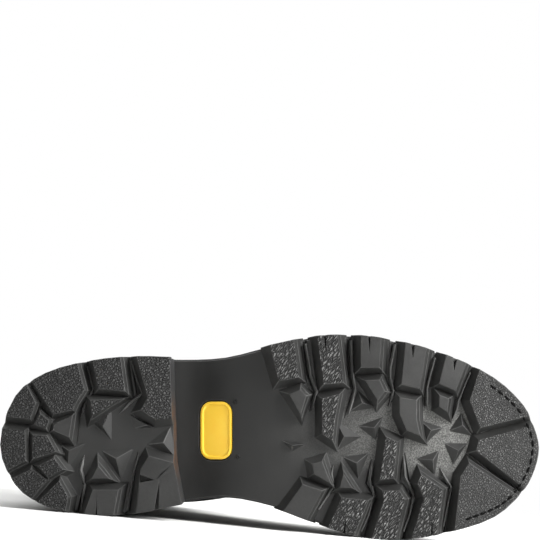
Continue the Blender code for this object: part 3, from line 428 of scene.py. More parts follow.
def floor_rubber():
    """Floor between the lugs: smooth and dark at the waist and sides, sandy to the toe, with a pale tone
    there that is painted light.
    """
    made, wire, shader, place = finish_nodes("rubber_floor")
    along, _, up = split_place(wire, place)
    sand = noise(wire, place, 1500.0, 3.0)
    bloom = noise(wire, place, 60.0, 3.0)
    # Pale tone in the middle towards the toe: painted light, with a sandy grain in it
    middle = rise(wire, up, *LIT_SAND_STARTS) * rise(wire, up, *LIT_SAND_STOPS)
    sand_and_painted_light = rise(wire, along + (bloom - 0.5) * 0.03, 0.0, 0.105) * middle
    grains = rise(wire, sand, 0.35, 0.68)
    dark = blend(wire, bloom, (0.0106, 0.0106, 0.0102), (0.019, 0.019, 0.0183))
    pale = blend(wire, grains, (0.04, 0.04, 0.038), (0.138, 0.138, 0.132))
    feed(
        wire, shader, blend(wire, sand_and_painted_light, dark, pale), 0.42 + sand_and_painted_light * 0.35 + (bloom - 0.5) * 0.15,
        sand * (0.15 + sand_and_painted_light * 0.85), 0.00018,
    )
    shader.inputs["Specular IOR Level"].default_value = 0.4
    return made


def grain_rubber(name, size, pale, wear_and_glint, depth, gloss):
    """Lug faces with a hide-like grain of long or round pebbles. The paler crests are part wear, part
    painted highlight, and their painted light grows towards the toe.
    """
    made, wire, shader, place = finish_nodes(name)
    warp = wire.node("ShaderNodeTexNoise", {}, {"Vector": place, "Scale": 420.0}, "Color")
    bent = wire.node(
        "ShaderNodeVectorMath", {"operation": "MULTIPLY_ADD"},
        {0: warp, 1: (GRAIN_WARP,) * 3, 2: place},
    )
    leant = wire.node("ShaderNodeMapping", {"vector_type": "TEXTURE"}, {
        "Vector": bent, "Rotation": (0.0, math.radians(CRINKLE_LEAN), 0.0),
        "Scale": tuple(MM * side for side in size),
    })
    patch = noise(wire, place, 120.0, 2.0)
    edge = cells(wire, leant, 1.0, "DISTANCE_TO_EDGE")
    height = rise(wire, edge, 0.0, 0.34) * 0.88 + noise(wire, place, 1500.0) * 0.12
    # Paler crests: part wear, part painted highlight
    crest = rise(wire, edge, *wear_and_glint)
    along, _, _ = split_place(wire, place)
    # Painted light: paler towards the toe, darker to the heel where the light falls off
    painted_toe_light = rise(wire, along, *GRAIN_TOE_LIGHT, 0.1, 1.0)
    colour = blend(wire, crest * painted_toe_light * (0.35 + patch * 1.1), (0.012, 0.012, 0.0117), pale)
    feed(wire, shader, colour, 0.58 - crest * 0.16 + (patch - 0.5) * 0.15, height, depth)
    shader.inputs["Specular IOR Level"].default_value = gloss
    return made


RUBBER_WALL = satin_rubber("rubber_wall", (0.0142, 0.0142, 0.0137), (0.0252, 0.0252, 0.0244))
RUBBER_FLOOR = floor_rubber()
RUBBER_CRINKLE = grain_rubber(
    "rubber_crinkle", CRINKLE, (0.14, 0.14, 0.137), (0.12, 0.27), 0.0014, 0.38,
)
RUBBER_PEBBLE = grain_rubber(
    "rubber_pebble", PEBBLE, (0.072, 0.072, 0.07), (0.05, 0.27), 0.0011, 0.5,
)
HEEL_GRAIN = grain_rubber(
    "rubber_heel_pebble", HEEL_PEBBLE, (0.13, 0.13, 0.127), (0.1, 0.27), 0.0016, 0.36,
)
# Paler rubber of the rounded outer edges and the ledges: part wear, part painted highlight
RUBBER_EDGE = satin_rubber("rubber_edge", (0.04, 0.04, 0.0395), (0.068, 0.068, 0.066))
TREAD_FINISHES = (RUBBER_WALL, RUBBER_FLOOR, RUBBER_CRINKLE, RUBBER_PEBBLE, RUBBER_EDGE)
HEEL_FINISHES = (RUBBER_WALL, RUBBER_FLOOR, RUBBER_CRINKLE, HEEL_GRAIN, RUBBER_EDGE)
EDGE_FINISH = TREAD_FINISHES.index(RUBBER_EDGE)


def place_piece(name, mesh):
    """Object from a mesh in standing millimetres, laid down with its place in its mesh."""
    mesh.transform(LIE)
    return put(name, mesh)


def fix(piece, slot, *nodes):
    """Fixes a finished piece to the boot, flat on the floor, for the solids it stands for."""
    for vert in piece.data.vertices:
        vert.co.z = max(vert.co.z, 0.0)
    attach(piece, "root")
    if nodes:
        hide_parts(*nodes)


def settled(piece):
    """Turns a piece's modifiers into plain mesh."""
    graph = bpy.context.evaluated_depsgraph_get()
    mesh = bpy.data.meshes.new_from_object(piece.evaluated_get(graph))
    piece.modifiers.clear()
    piece.data = mesh
    return piece


def soften(mesh, angle, shaped=None):
    """Shades each corner with the faces around it that turn less than an angle."""
    limit = math.cos(math.radians(angle))
    around = [[] for _ in mesh.vertices]
    for face in mesh.polygons:
        for index in face.vertices:
            around[index].append(face)
    normals = []
    for face in mesh.polygons:
        for index in face.vertices:
            near = [
                other.normal * other.area for other in around[index]
                if other.normal.dot(face.normal) > limit
            ]
            normal = sum(near, Vector()).normalized()
            normals.append(shaped(mesh.vertices[index].co, normal) if shaped else normal)
    mesh.normals_split_custom_set(normals)


def welded(node):
    """Copy of a solid to work on, with the loose corners of its faces merged."""
    bm = bmesh.new()
    bm.from_mesh(frame["nodes"][node].data)
    bmesh.ops.remove_doubles(bm, verts=bm.verts, dist=WELD * MM)
    return bm


def search_tree(mesh, turn=Matrix.Identity(4)):
    """Search tree of a mesh's faces."""
    points = [turn @ vert.co for vert in mesh.vertices]
    return BVHTree.FromPolygons(points, [tuple(face.vertices) for face in mesh.polygons])


def rounded_copy(node, name, width, finishes, edge_finish=0, shaped=None):
    """Copy of a solid with its edges rounded, kept to the solid's surface.

    The rounding of an outer edge takes a finish of its own, that of an inner one the first.
    """
    tree = search_tree(frame["nodes"][node].data)
    bm = welded(node)
    bmesh.ops.dissolve_limit(bm, angle_limit=math.radians(FLAT_ANGLE), verts=bm.verts, edges=bm.edges)
    bmesh.ops.triangulate(bm, faces=bm.faces, quad_method="BEAUTY", ngon_method="BEAUTY")
    mesh = mesh_from(bm, name)
    for finish in finishes:
        mesh.materials.append(finish)
    mesh.polygons.foreach_set("material_index", [0] * len(mesh.polygons))
    piece = put(name, mesh)
    bevel = piece.modifiers.new("edges", "BEVEL")
    bevel.material = edge_finish
    bevel.width = width * MM
    bevel.segments = 2
    bevel.limit_method = "ANGLE"
    bevel.angle_limit = math.radians(EDGE_ANGLE)
    bevel.use_clamp_overlap = False
    settled(piece)
    for vert in piece.data.vertices:
        near, _, _, away = tree.find_nearest(vert.co)
        if away > EDGE_STRAY * width * MM:
            vert.co = near
    piece.data.shade_smooth()
    for face in piece.data.polygons:
        near, normal, _, _ = tree.find_nearest(face.center)
        if (face.center - near).dot(normal) > -EDGE_CUT * width * MM:
            face.material_index = 0
    soften(piece.data, SOFT_ANGLE, shaped)
    return piece


def waist_shade(place, normal):
    """Normal of the waist's even curve in place of its flat panels."""
    x, _, z = STAND @ place
    down = -(STAND.to_3x3() @ normal).normalized().z
    if not WAIST[0] < x < WAIST[1] or down < CURVE_LIMIT or abs(z - smooth(FLOOR, x)) > CURVE_NEAR:
        return normal
    return lying((floor_slope(x, CURVE_REACH), 0, -1))


def mould_finish(piece, depth):
    """Gives each face of a tread piece the finish of its place in the mould."""
    down = lying((0, 0, -1))
    for face in piece.data.polygons:
        x, y, z = STAND @ face.center
        turn = face.normal.dot(down)
        if face.material_index == EDGE_FINISH and abs(turn) < FACE_LIMIT:
            continue
        finish = RUBBER_WALL
        in_waist = WAIST[0] - WAIST_BEFORE < x < WAIST[1] and turn > WAIST_LIMIT
        if in_waist and abs(z - smooth(FLOOR, x)) < WAIST_NEAR:
            finish = RUBBER_FLOOR
        elif turn > FACE_LIMIT:
            if z > depth - FLOOR_NEAR + tread(x):
                finish = RUBBER_FLOOR
            elif any(inside(x, -y, corners) for corners in CRINKLED_LUGS):
                finish = RUBBER_CRINKLE
            elif any(inside(x, -y, corners) for corners in PEBBLED_LUGS):
                finish = RUBBER_PEBBLE
        face.material_index = TREAD_FINISHES.index(finish)


def glue_breast(piece):
    """Gives the heel's front wall its brown smear of glue."""
    breast = satin_rubber("rubber_breast", (0.014, 0.014, 0.0145), (0.03, 0.03, 0.03), GLUE)
    piece.data.materials.append(breast)
    ahead = lying((1, 0, 0))
    for face in piece.data.polygons:
        if face.normal.dot(ahead) > BREAST_TURN and (STAND @ face.center).x > BREAST_FROM:
            face.material_index = len(TREAD_FINISHES)


outsole = rounded_copy("outsole", "outsole_rubber", EDGE_ROUND, TREAD_FINISHES, EDGE_FINISH, waist_shade)
mould_finish(outsole, LUG_DEPTH)
fix(outsole, "sole_rubber", "outsole")
heel = rounded_copy("heel", "heel_rubber", EDGE_ROUND, HEEL_FINISHES, EDGE_FINISH)
mould_finish(heel, HEEL_LUG_DEPTH)
glue_breast(heel)
fix(heel, "sole_rubber", "heel")

# Ribs: a sharp thin rib of the same rubber runs along the floor of each gap between lugs, coloured paler
# as a painted highlight.
# Lines are (x, way to the outer side), from the sole's edge to the rib's low inner end.
FOREFOOT_RIBS = (
    ((172.5, 52.2), (174.6, 41.8), (175.6, 34.0), (179.2, 25.2), (177.9, 21.0), (175.8, 13.2)),
    ((198.6, 54.1), (199.1, 40.5), (199.7, 33.0), (201.0, 27.1), (199.4, 20.0), (196.8, 11.2)),
    (
        (223.5, 51.8), (222.7, 46.9), (220.9, 38.8), (220.8, 33.0), (222.6, 25.5), (221.8, 21.6),
        (220.1, 17.1),
    ),
    ((246.4, 44.3), (243.2, 33.3), (241.7, 27.0), (241.7, 18.6), (242.5, 14.8)),
    ((266.5, 36.0), (263.2, 28.5), (259.7, 19.8), (258.7, 15.2), (256.7, 9.7)),
    ((179.8, -41.6), (187.0, -30.8), (188.9, -28.6), (187.2, -21.5), (188.5, -16.9)),
    ((204.0, -54.0), (208.0, -45.1), (211.4, -33.1), (209.0, -24.5), (210.7, -13.6)),
    ((227.9, -54.0), (231.5, -44.4), (234.0, -33.1), (228.8, -22.8), (228.3, -11.2)),
    ((250.6, -51.4), (252.0, -44.4), (254.4, -33.8), (255.4, -29.0), (252.0, -24.2), (249.1, -18.4)),
    ((295.8, 9.3), (267.8, 0.3)),
    ((291.4, -31.4), (263.3, -9.2)),
)
HEEL_RIBS = (
    ((49.0, 39.3), (52.3, 26.4), (47.6, 18.1), (45.0, 10.2)),
    ((73.9, 42.6), (76.2, 35.0), (80.0, 23.8), (72.8, 18.8), (67.0, 12.3)),
    ((45.5, -42.9), (47.7, -27.4), (45.2, -19.2), (47.2, -11.0)),
    ((71.5, -42.4), (75.0, -23.7), (77.7, -10.7)),
)
RIB_WIDTH = 1.9
RIB_HEIGHT = 3.4
RIB_ROOT = 2.4
RIB_TAPER = 5.0
RIB_END = 0.15
RIB_STEP = 0.8
# Paler rib rubber: painted highlight on the ribs
RIB_RUBBER = satin_rubber("rubber_rib", (0.075, 0.075, 0.0735), (0.14, 0.14, 0.137))


def open_tree(name, takes, sizes):
    """New node tree, and a wire for each of its inputs: a form, named sizes and a finish."""
    tree = bpy.data.node_groups.new(name, "GeometryNodeTree")
    inputs = [(takes, "Geometry")] + [(size, "Float") for size in sizes] + [("Finish", "Material")]
    for socket, kind in inputs:
        tree.interface.new_socket(socket, in_out="INPUT", socket_type="NodeSocket" + kind)
    tree.interface.new_socket("Made", in_out="OUTPUT", socket_type="NodeSocketGeometry")
    given = tree.nodes.new("NodeGroupInput")
    return Wire(tree), {socket.name: Wire(tree, socket) for socket in given.outputs}


def stepped(wire, lines, step):
    """Bare edges as curves with a point at each step."""
    curve = wire.node("GeometryNodeMeshToCurve", {}, {"Mesh": lines})
    return wire.node("GeometryNodeResampleCurve", {"mode": "LENGTH"}, {"Curve": curve, "Length": step})


def close_tree(wire, made, finish, rounded):
    """Ends a tree: instances made real, faces shaded round or flat, and their finish set."""
    real = wire.node("GeometryNodeRealizeInstances", {}, {"Geometry": made})
    shaded = wire.node("GeometryNodeSetShadeSmooth", {}, {"Geometry": real, "Shade Smooth": rounded})
    dressed = wire.node("GeometryNodeSetMaterial", {}, {"Geometry": shaded, "Material": finish})
    result = wire.tree.nodes.new("NodeGroupOutput")
    wire.tree.links.new(dressed.socket, result.inputs["Made"])
    return wire.tree


def rib_tree():
    """Node tree that runs a sharp rib along each line, lower towards the line's end."""
    wire, given = open_tree("rib_run", "Lines", ("Width", "Height", "Root", "Taper", "Step"))
    line = stepped(wire, given["Lines"], given["Step"])
    level = wire.node("GeometryNodeSetCurveNormal", {"mode": "Z_UP"}, {"Curve": line})
    left = wire.node("GeometryNodeSplineLength") - wire.node("GeometryNodeSplineParameter", out="Length")
    share = wire.node("ShaderNodeClamp", {}, {"Value": left / given["Taper"], "Min": RIB_END})
    section = wire.node("GeometryNodeCurvePrimitiveQuadrilateral", {"mode": "KITE"}, {
        "Width": given["Width"], "Top Height": given["Height"], "Bottom Height": given["Root"],
    })
    rib = wire.node("GeometryNodeCurveToMesh", {}, {
        "Curve": level, "Profile Curve": section, "Scale": share, "Fill Caps": True,
    })
    return close_tree(wire, rib, given["Finish"], False)


RIB_TREE = rib_tree()


def line_mesh(name, lines):
    """Mesh of bare edges along lines of points. A line that ends where it starts is a loop."""
    points = []
    edges = []
    for line in lines:
        first = len(points)
        closed = tuple(line[0]) == tuple(line[-1])
        points += [tuple(point) for point in line[:len(line) - closed]]
        edges += [(k, k + 1) for k in range(first, len(points) - 1)]
        if closed:
            edges.append((len(points) - 1, first))
    mesh = bpy.data.meshes.new(name)
    mesh.from_pydata(points, edges, [])
    return mesh


def grow(piece, tree, sizes):
    """Runs a node tree on a piece with its named inputs, and keeps the plain mesh."""
    made = piece.modifiers.new(tree.name, "NODES")
    made.node_group = tree
    for item in tree.interface.items_tree:
        if item.name in sizes:
            made[item.identifier] = sizes[item.name]
    return settled(piece)


def lay_ribs(name, lines, width, height, root, taper, finish):
    """Runs ribs along lines of standing points and lays them down as one piece."""
    piece = put(name, line_mesh(name, lines))
    grow(piece, RIB_TREE, {
        "Width": width, "Height": height, "Root": root, "Taper": taper, "Step": RIB_STEP,
        "Finish": finish,
    })
    piece.data.transform(LIE)
    fix(piece, "sole_rubber")


def gap_lines():
    """Rib lines on the floors between the lugs."""
    lines = [[(x, -out, seat(x) - BASE_THICKNESS) for x, out in line] for line in FOREFOOT_RIBS]
    return lines + [[(x, -out, HEEL_LUG_DEPTH) for x, out in line] for line in HEEL_RIBS]


lay_ribs("gap_ribs", gap_lines(), RIB_WIDTH, RIB_HEIGHT, RIB_ROOT, RIB_TAPER, RIB_RUBBER)

# Ledges: a thin bead runs along the toe side of each lug, part way down its wall.
# It is moulded with the lug, and its crest is paler, part wear and part painted highlight.
LEDGE_DOWN = 2.8
LEDGE_WIDTH = 0.7
LEDGE_HEIGHT = 0.45
LEDGE_TOEWARD = 0.4
LEDGE_DRAFT = -0.2


def on_toe_side(edge):
    """Whether a level line round a lug lies on a sloping wall that faces the toe."""
    turn = sum((face.normal for face in edge.link_faces), Vector()).normalized()
    return turn.x > LEDGE_TOEWARD and turn.z < LEDGE_DRAFT


def chained(edges):
    """Runs of corners along edges that share their ends."""
    near = {}
    for edge in edges:
        for vert in edge.verts:
            near.setdefault(vert, []).append(edge)
    runs = []
    for start in near:
        run = [start]
        edge = near[start][0] if len(near[start]) == 1 else None
        while edge:
            run.append(edge.other_vert(run[-1]))
            onward = [other for other in near[run[-1]] if other is not edge]
            edge = onward[0] if len(onward) == 1 else None
        if len(run) > 1 and start.index < run[-1].index:
            runs.append(run)
    return runs


def ledge_lines(node):
    """Level lines part way down a tread's walls, where they face the toe."""
    bm = welded(node)
    bm.transform(STAND)
    for vert in bm.verts:
        vert.co.z -= tread(vert.co.x)
    cut = bmesh.ops.bisect_plane(
        bm, geom=bm.verts[:] + bm.edges[:] + bm.faces[:],
        plane_co=(0, 0, LEDGE_DOWN), plane_no=(0, 0, 1),
    )
    bm.normal_update()
    bm.verts.index_update()
    level = [part for part in cut["geom_cut"] if isinstance(part, bmesh.types.BMEdge)]
    runs = chained([edge for edge in level if on_toe_side(edge)])
    lines = [[(*vert.co.xy, vert.co.z + tread(vert.co.x)) for vert in run] for run in runs]
    bm.free()
    return lines


ledges = ledge_lines("outsole") + ledge_lines("heel")
lay_ribs("lug_ledges", ledges, LEDGE_WIDTH, LEDGE_HEIGHT, LEDGE_HEIGHT, MM, RUBBER_EDGE)

# Mould rings: two small low rings of the sole's own rubber on the floor of the waist.
# They are moulded on, where the ends of the mould's pins meet the rubber.
MOULD_RINGS = ((132.7, 19.4), (134.1, -12.0))
RING_RADIUS = 1.15
RING_WIDTH = 0.9
RING_HEIGHT = 0.6
RING_STEPS = 16


def ring_line(centre, centre_out):
    """Closed line of a ring on the waist's floor."""
    line = []
    for turn in np.linspace(0, 2 * math.pi, RING_STEPS, endpoint=False):
        x = centre + RING_RADIUS * math.cos(turn)
        line.append((x, -centre_out - RING_RADIUS * math.sin(turn), smooth(FLOOR, x)))
    return line + line[:1]


rings = [ring_line(*spot) for spot in MOULD_RINGS]
lay_ribs("mould_rings", rings, RING_WIDTH, RING_HEIGHT, RIB_ROOT, MM, RUBBER_WALL)

# Plug: a plain yellow plastic disc with a low rim, sunk in its recess in the waist.
# A narrow gap shows all round it.
PLUG_CENTRE = (121.5, 3.0)
PLUG_LENGTH = 34.0
PLUG_WIDTH = 21.0
PLUG_CORNER = 7.0
PLUG_STEPS = 7
PLUG_REACH = 4.0
# Loops of the plug from its back to its field: way in from its edge, way into the sole
PLUG_LOOPS = (
    (0.5, 1.3), (0.5, 0.15), (0.6, -0.08), (0.9, -0.2),
    (1.8, -0.2), (2.05, -0.12), (2.5, 0.3), (2.75, 0.38),
)


def plug_finish():
    """Moulded plastic of an even yellow, faintly cloudy."""
    made, wire, shader, place = finish_nodes("yellow_plastic")
    cloudy = noise(wire, place, 130.0, 3.0)
    feed(
        wire, shader, blend(wire, cloudy, (0.98, 0.57, 0.032), (1.0, 0.68, 0.065)),
        0.36 + (cloudy - 0.5) * 0.2, noise(wire, place, 700.0), 0.00005,
    )
    return made


def ring_faces(rings, count, closed=False):
    """Faces between closed rings of points. The last ring meets the first, or both are filled."""
    quads = [
        (ring * count + k, ring * count + (k + 1) % count,
         (ring + 1) % rings * count + (k + 1) % count, (ring + 1) % rings * count + k)
        for ring in range(rings if closed else rings - 1) for k in range(count)
    ]
    if closed:
        return quads
    return quads + [tuple(range(count))[::-1], tuple(range((rings - 1) * count, rings * count))]


def mesh_of(name, points, faces, finish):
    """Closed mesh in standing millimetres with its faces turned outwards."""
    bm = bmesh.new()
    verts = [bm.verts.new(point) for point in points]
    for face in faces:
        bm.faces.new([verts[index] for index in face])
    bmesh.ops.recalc_face_normals(bm, faces=bm.faces)
    mesh = mesh_from(bm, name)
    mesh.shade_smooth()
    mesh.materials.append(finish)
    return mesh


def make_plug():
    """Lays loops with round corners on each other, and tips the disc to the waist's slope."""
    centre, centre_out = PLUG_CENTRE
    pitch = math.atan(floor_slope(centre, PLUG_REACH))
    points = []
    for inset, height in PLUG_LOOPS:
        radius = PLUG_CORNER - inset
        for quarter, (side_x, side_y) in enumerate(((1, 1), (-1, 1), (-1, -1), (1, -1))):
            for turn in np.linspace(0, math.pi / 2, PLUG_STEPS) + quarter * math.pi / 2:
                points.append((
                    side_x * (PLUG_WIDTH / 2 - PLUG_CORNER) + radius * math.cos(turn),
                    side_y * (PLUG_LENGTH / 2 - PLUG_CORNER) + radius * math.sin(turn),
                    height,
                ))
    faces = ring_faces(len(PLUG_LOOPS), 4 * PLUG_STEPS)
    mesh = mesh_of("waist_plug", points, faces, plug_finish())
    spot = Matrix.Translation((centre, -centre_out, smooth(FLOOR, centre)))
    mesh.transform(spot @ Matrix.Rotation(-pitch, 4, "Y"))
    soften(mesh, SOFT_ANGLE)
    return place_piece("waist_plug", mesh)


plug = make_plug()
fix(plug, "sole_plug", "sole_inlay")

# Welt: a strip of black leather sewn round the upper's lower edge and bedded on the seat.
# Its outer edge is rounded and waxed, and the outsole's seam runs in a groove along its top.
WELT_THICKNESS = 3.5
WELT_SEAT = 0.15
# Outline of the sole: x, way to the outer edge, way to the inner edge
OUTLINE = (
    (8.5, 22.5, 27.5), (25.5, 35.5, 39.5), (51, 42.5, 44.5), (76, 45, 44), (102, 44.5, 39),
    (127, 45.5, 36), (153, 51.5, 40.5), (178, 56.5, 49.5), (203, 57, 57), (229, 53, 58.5),
    (254, 45.5, 54.5), (280, 33, 46), (297, 17.5, 31), (303.5, 4, 19),
)
WELT_GROOVE = 3.1
# Section of the welt: way in from the sole's edge, height over the seat
WELT_PROFILE = (
    (2.2, 0.0), (1.5, 0.3), (1.2, 1.0), (1.2, 2.4), (1.5, 3.15), (2.3, 3.5), (4.3, 3.5),
    (4.8, WELT_GROOVE), (5.6, WELT_GROOVE), (6.1, 3.5), (9.0, 3.5), (13.0, 3.4), (13.0, 0.0),
)
WELT_SEAM = 5.2
WELT_STEPS = 10


def outline_loop(inset, per_span):
    """Closed outline of the sole moved inwards, from the heel up the outer side and back."""
    outer = [(x, -out) for x, out, _ in OUTLINE]
    inner = [(x, out) for x, _, out in reversed(OUTLINE)]
    corners = [(HEEL_END[0], -HEEL_END[1])] + outer + [(TOE_END[0], -TOE_END[1])] + inner
    corners = np.array(corners, float)
    points = []
    for i in range(len(corners)):
        before, here, there, after = (corners[(i + k) % len(corners)] for k in (-1, 0, 1, 2))
        chord = np.linalg.norm(there - here)
        leave = (there - before) / (np.linalg.norm(here - before) + chord) * chord
        arrive = (after - here) / (np.linalg.norm(after - there) + chord) * chord
        for u in np.arange(per_span) / per_span:
            heading = 6 * u * (1 - u) * (there - here) + (1 - u) * (1 - 3 * u) * leave
            heading = heading + u * (3 * u - 2) * arrive
            heading = heading / np.linalg.norm(heading)
            point = bend(u, here, there, leave, arrive)
            points.append(point + inset * np.array((-heading[1], heading[0])))
    return np.array(points)


def leather(name, dark, light, rough, cell, depth):
    """Dyed leather: pebbled grain with fine pores, slack here and there, its polish in patches."""
    made, wire, shader, place = finish_nodes(name)
    patch = noise(wire, place, 26.0, 4.0)
    slack = noise(wire, place, 140.0, 2.0)
    pebble = cells(wire, place, 1 / (cell * MM), "SMOOTH_F1")
    pore = noise(wire, place, 2.2 / (cell * MM), 2.0)
    shade = rise(wire, patch * 0.7 + pebble * 0.4, 0.3, 0.75)
    height = slack * 1.4 + pore * 0.4 - pebble * 0.9
    roughness = rough + (patch - 0.5) * 0.32 + (pore - 0.5) * 0.14
    feed(wire, shader, blend(wire, shade, light, dark), roughness, height, depth)
    shader.inputs["Specular IOR Level"].default_value = 0.34
    return made


WELT_LEATHER = leather("welt_leather", (0.016, 0.015, 0.014), (0.03, 0.028, 0.027), 0.5, 0.7, 0.00008)


def make_welt():
    """Runs the welt's section round the sole on its seat."""
    loops = [outline_loop(inset, WELT_STEPS) for inset, _ in WELT_PROFILE]
    points = [
        (x, y, seat(x) + WELT_SEAT + height)
        for loop, (_, height) in zip(loops, WELT_PROFILE) for x, y in loop
    ]
    faces = ring_faces(len(loops), len(loops[0]), closed=True)
    return place_piece("welt_strip", mesh_of("welt_strip", points, faces, WELT_LEATHER))


welt = make_welt()
fix(welt, "welt_leather", "welt")

# Seams: waxed black thread, each stitch a short bead that dives into the leather at its ends.
# One node tree sews every seam from a line laid on the surface.
THREAD_RADIUS = 0.42
SEAM_PITCH = 3.1
SEAM_STITCH = 2.7
WELT_PITCH = 4.4
WELT_STITCH = 3.7
WELT_THREAD = 0.62
WELT_THREAD_UP = 0.25
BEAD_SEGMENTS = 6
BEAD_RINGS = 5


def thread_finish(name, dark, light, rough, gloss=0.5):
    """Twisted thread, darker between its strands: painted shade."""
    made, wire, shader, place = finish_nodes(name)
    shader.inputs["Specular IOR Level"].default_value = gloss
    twist = noise(wire, place, 3500.0, 1.0)
    feed(wire, shader, blend(wire, twist, dark, light), rough + (twist - 0.5) * 0.3, twist, 0.00005)
    return made


THREAD = thread_finish("waxed_thread", (0.018, 0.018, 0.019), (0.06, 0.06, 0.062), 0.5)


def stitch_tree():
    """Node tree that lays a stitch at each step along a line."""
    wire, given = open_tree("stitch_row", "Seam", ("Pitch", "Stitch", "Thread"))
    heading = wire.node("GeometryNodeInputTangent")
    turned = wire.node("FunctionNodeAlignRotationToVector", {"axis": "Z"}, {"Vector": heading})
    bead = wire.node("GeometryNodeMeshUVSphere", {}, {"Segments": BEAD_SEGMENTS, "Rings": BEAD_RINGS})
    size = wire.node("ShaderNodeCombineXYZ", {}, {
        "X": given["Thread"], "Y": given["Thread"], "Z": given["Stitch"] * 0.5,
    })
    laid = wire.node("GeometryNodeInstanceOnPoints", {}, {
        "Points": stepped(wire, given["Seam"], given["Pitch"]), "Instance": bead,
        "Rotation": turned, "Scale": size,
    })
    return close_tree(wire, laid, given["Finish"], True)


STITCH_TREE = stitch_tree()


def sew(name, lines, slot, finish, pitch=SEAM_PITCH, stitch=SEAM_STITCH, thread=THREAD_RADIUS):
    """Sews stitches along lines of standing points, as one piece."""
    piece = place_piece(name, line_mesh(name, lines))
    grow(piece, STITCH_TREE, {
        "Pitch": pitch * MM, "Stitch": stitch * MM, "Thread": thread * MM, "Finish": finish,
    })
    fix(piece, slot)


def welt_seam():
    """Closed line in the groove along the welt's top."""
    loop = outline_loop(WELT_SEAM, WELT_STEPS)
    line = [(x, y, seat(x) + WELT_SEAT + WELT_GROOVE + WELT_THREAD_UP) for x, y in loop]
    return line + line[:1]


sew("welt_stitches", [welt_seam()], "welt_leather", THREAD, WELT_PITCH, WELT_STITCH, WELT_THREAD)

# Toe seam: a tarred thread shows on the tread round the toe, in a groove of the lug faces.
# It is sewn through sole and welt, and breaks off at each gap between the lugs.
# Its line is given as (x, way to the outer side).
TOE_SEAM = (
    (279.5, 27.5), (285, 23.5), (290.5, 18.5), (296, 12.0), (300.3, 3.5), (302.3, -5), (300.8, -16),
    (296.3, -25.5), (290, -34), (282, -40), (273, -44), (265, -46.8),
)
TOE_PITCH = 4.5
TOE_STITCH = 4.1
TOE_THREAD = 0.8
TOE_SAMPLES = 120
TOE_NEAR = 1.0
SHOT_FROM = -40.0
SHORTEST_RUN = 4
TARRED_THREAD = thread_finish(
    "tarred_thread", (0.0015, 0.0015, 0.0015), (0.004, 0.004, 0.004), 0.8, 0.08,
)


def toe_seam():
    """Runs of the seam over the lug faces, with a break at each gap between lugs."""
    tree = search_tree(outsole.data, STAND)
    table = [(k, x, out) for k, (x, out) in enumerate(TOE_SEAM)]
    runs = [[]]
    for at in np.linspace(0, len(TOE_SEAM) - 1, TOE_SAMPLES):
        x, out = smooth(table, at)
        hit, _, _, _ = tree.ray_cast(Vector((x, -out, SHOT_FROM)), Vector((0, 0, 1)))
        if hit and hit.z < tread(x) + TOE_NEAR:
            runs[-1].append(hit)
        elif runs[-1]:
            runs.append([])
    return [run for run in runs if len(run) >= SHORTEST_RUN]


sew("toe_stitches", toe_seam(), "sole_rubber", TARRED_THREAD, TOE_PITCH, TOE_STITCH, TOE_THREAD)

# Footbed: a board inside the welt with a plain brushed cover, its edge turned down.
# It is cut to the last's lower edge and glued on the seat of the sole.
FOOTBED_ROUND = 0.8


def brushed(name, fine, broad, share, dark, light, rough, depth):
    """Brushed cover: a fine nap over broad patches of wear, mixed by a share."""
    made, wire, shader, place = finish_nodes(name)
    nap = noise(wire, place, fine, 3.0)
    patch = noise(wire, place, broad, 2.0)
    shade = nap * share + patch * (1 - share)
    feed(wire, shader, blend(wire, shade, dark, light), rough + (nap - 0.5) * 0.2, nap, depth)
    return made


FOOTBED_COVER = brushed(
    "footbed_cover", 1800.0, 30.0, 0.6, (0.11, 0.075, 0.045), (0.24, 0.17, 0.105), 0.85, 0.00012,
)
footbed = rounded_copy("insole", "footbed", FOOTBED_ROUND, (FOOTBED_COVER,))
fix(footbed, "footbed", "insole")

# Upper: vamp and quarters of black grained leather, drawn over the last and lasted to the welt.
# Quarters lie over the vamp, with an eyestay along the throat and a soft cuff at the collar.
LAST_INSET = 10.5
HEEL_ROUND = 58.0
FEATHER_DROP = 3.0
FEATHER_RISE = 1.2
LEAST_BULGE = 1.5
ROUNDNESS = 2.3
WALL = 2.2
QUARTER_STEP = 1.3
STAY_STEP = 1.2
COLLAR_STEP = 1.5
STAY_WIDTH = 24.0
STEP_RUN = 0.9
COLLAR_BAND = 2.6
COLLAR_SWEEP = 1.7
THROAT_AT = 8.7
SEAM_SWEEP = 1.6
HEEL_CORNER_AT = 17
RUN_ON_FROM = 12
RUN_ON_SLOPE = 8.0
LAST_SPANS = 12
THROAT_SHARE = 0.16
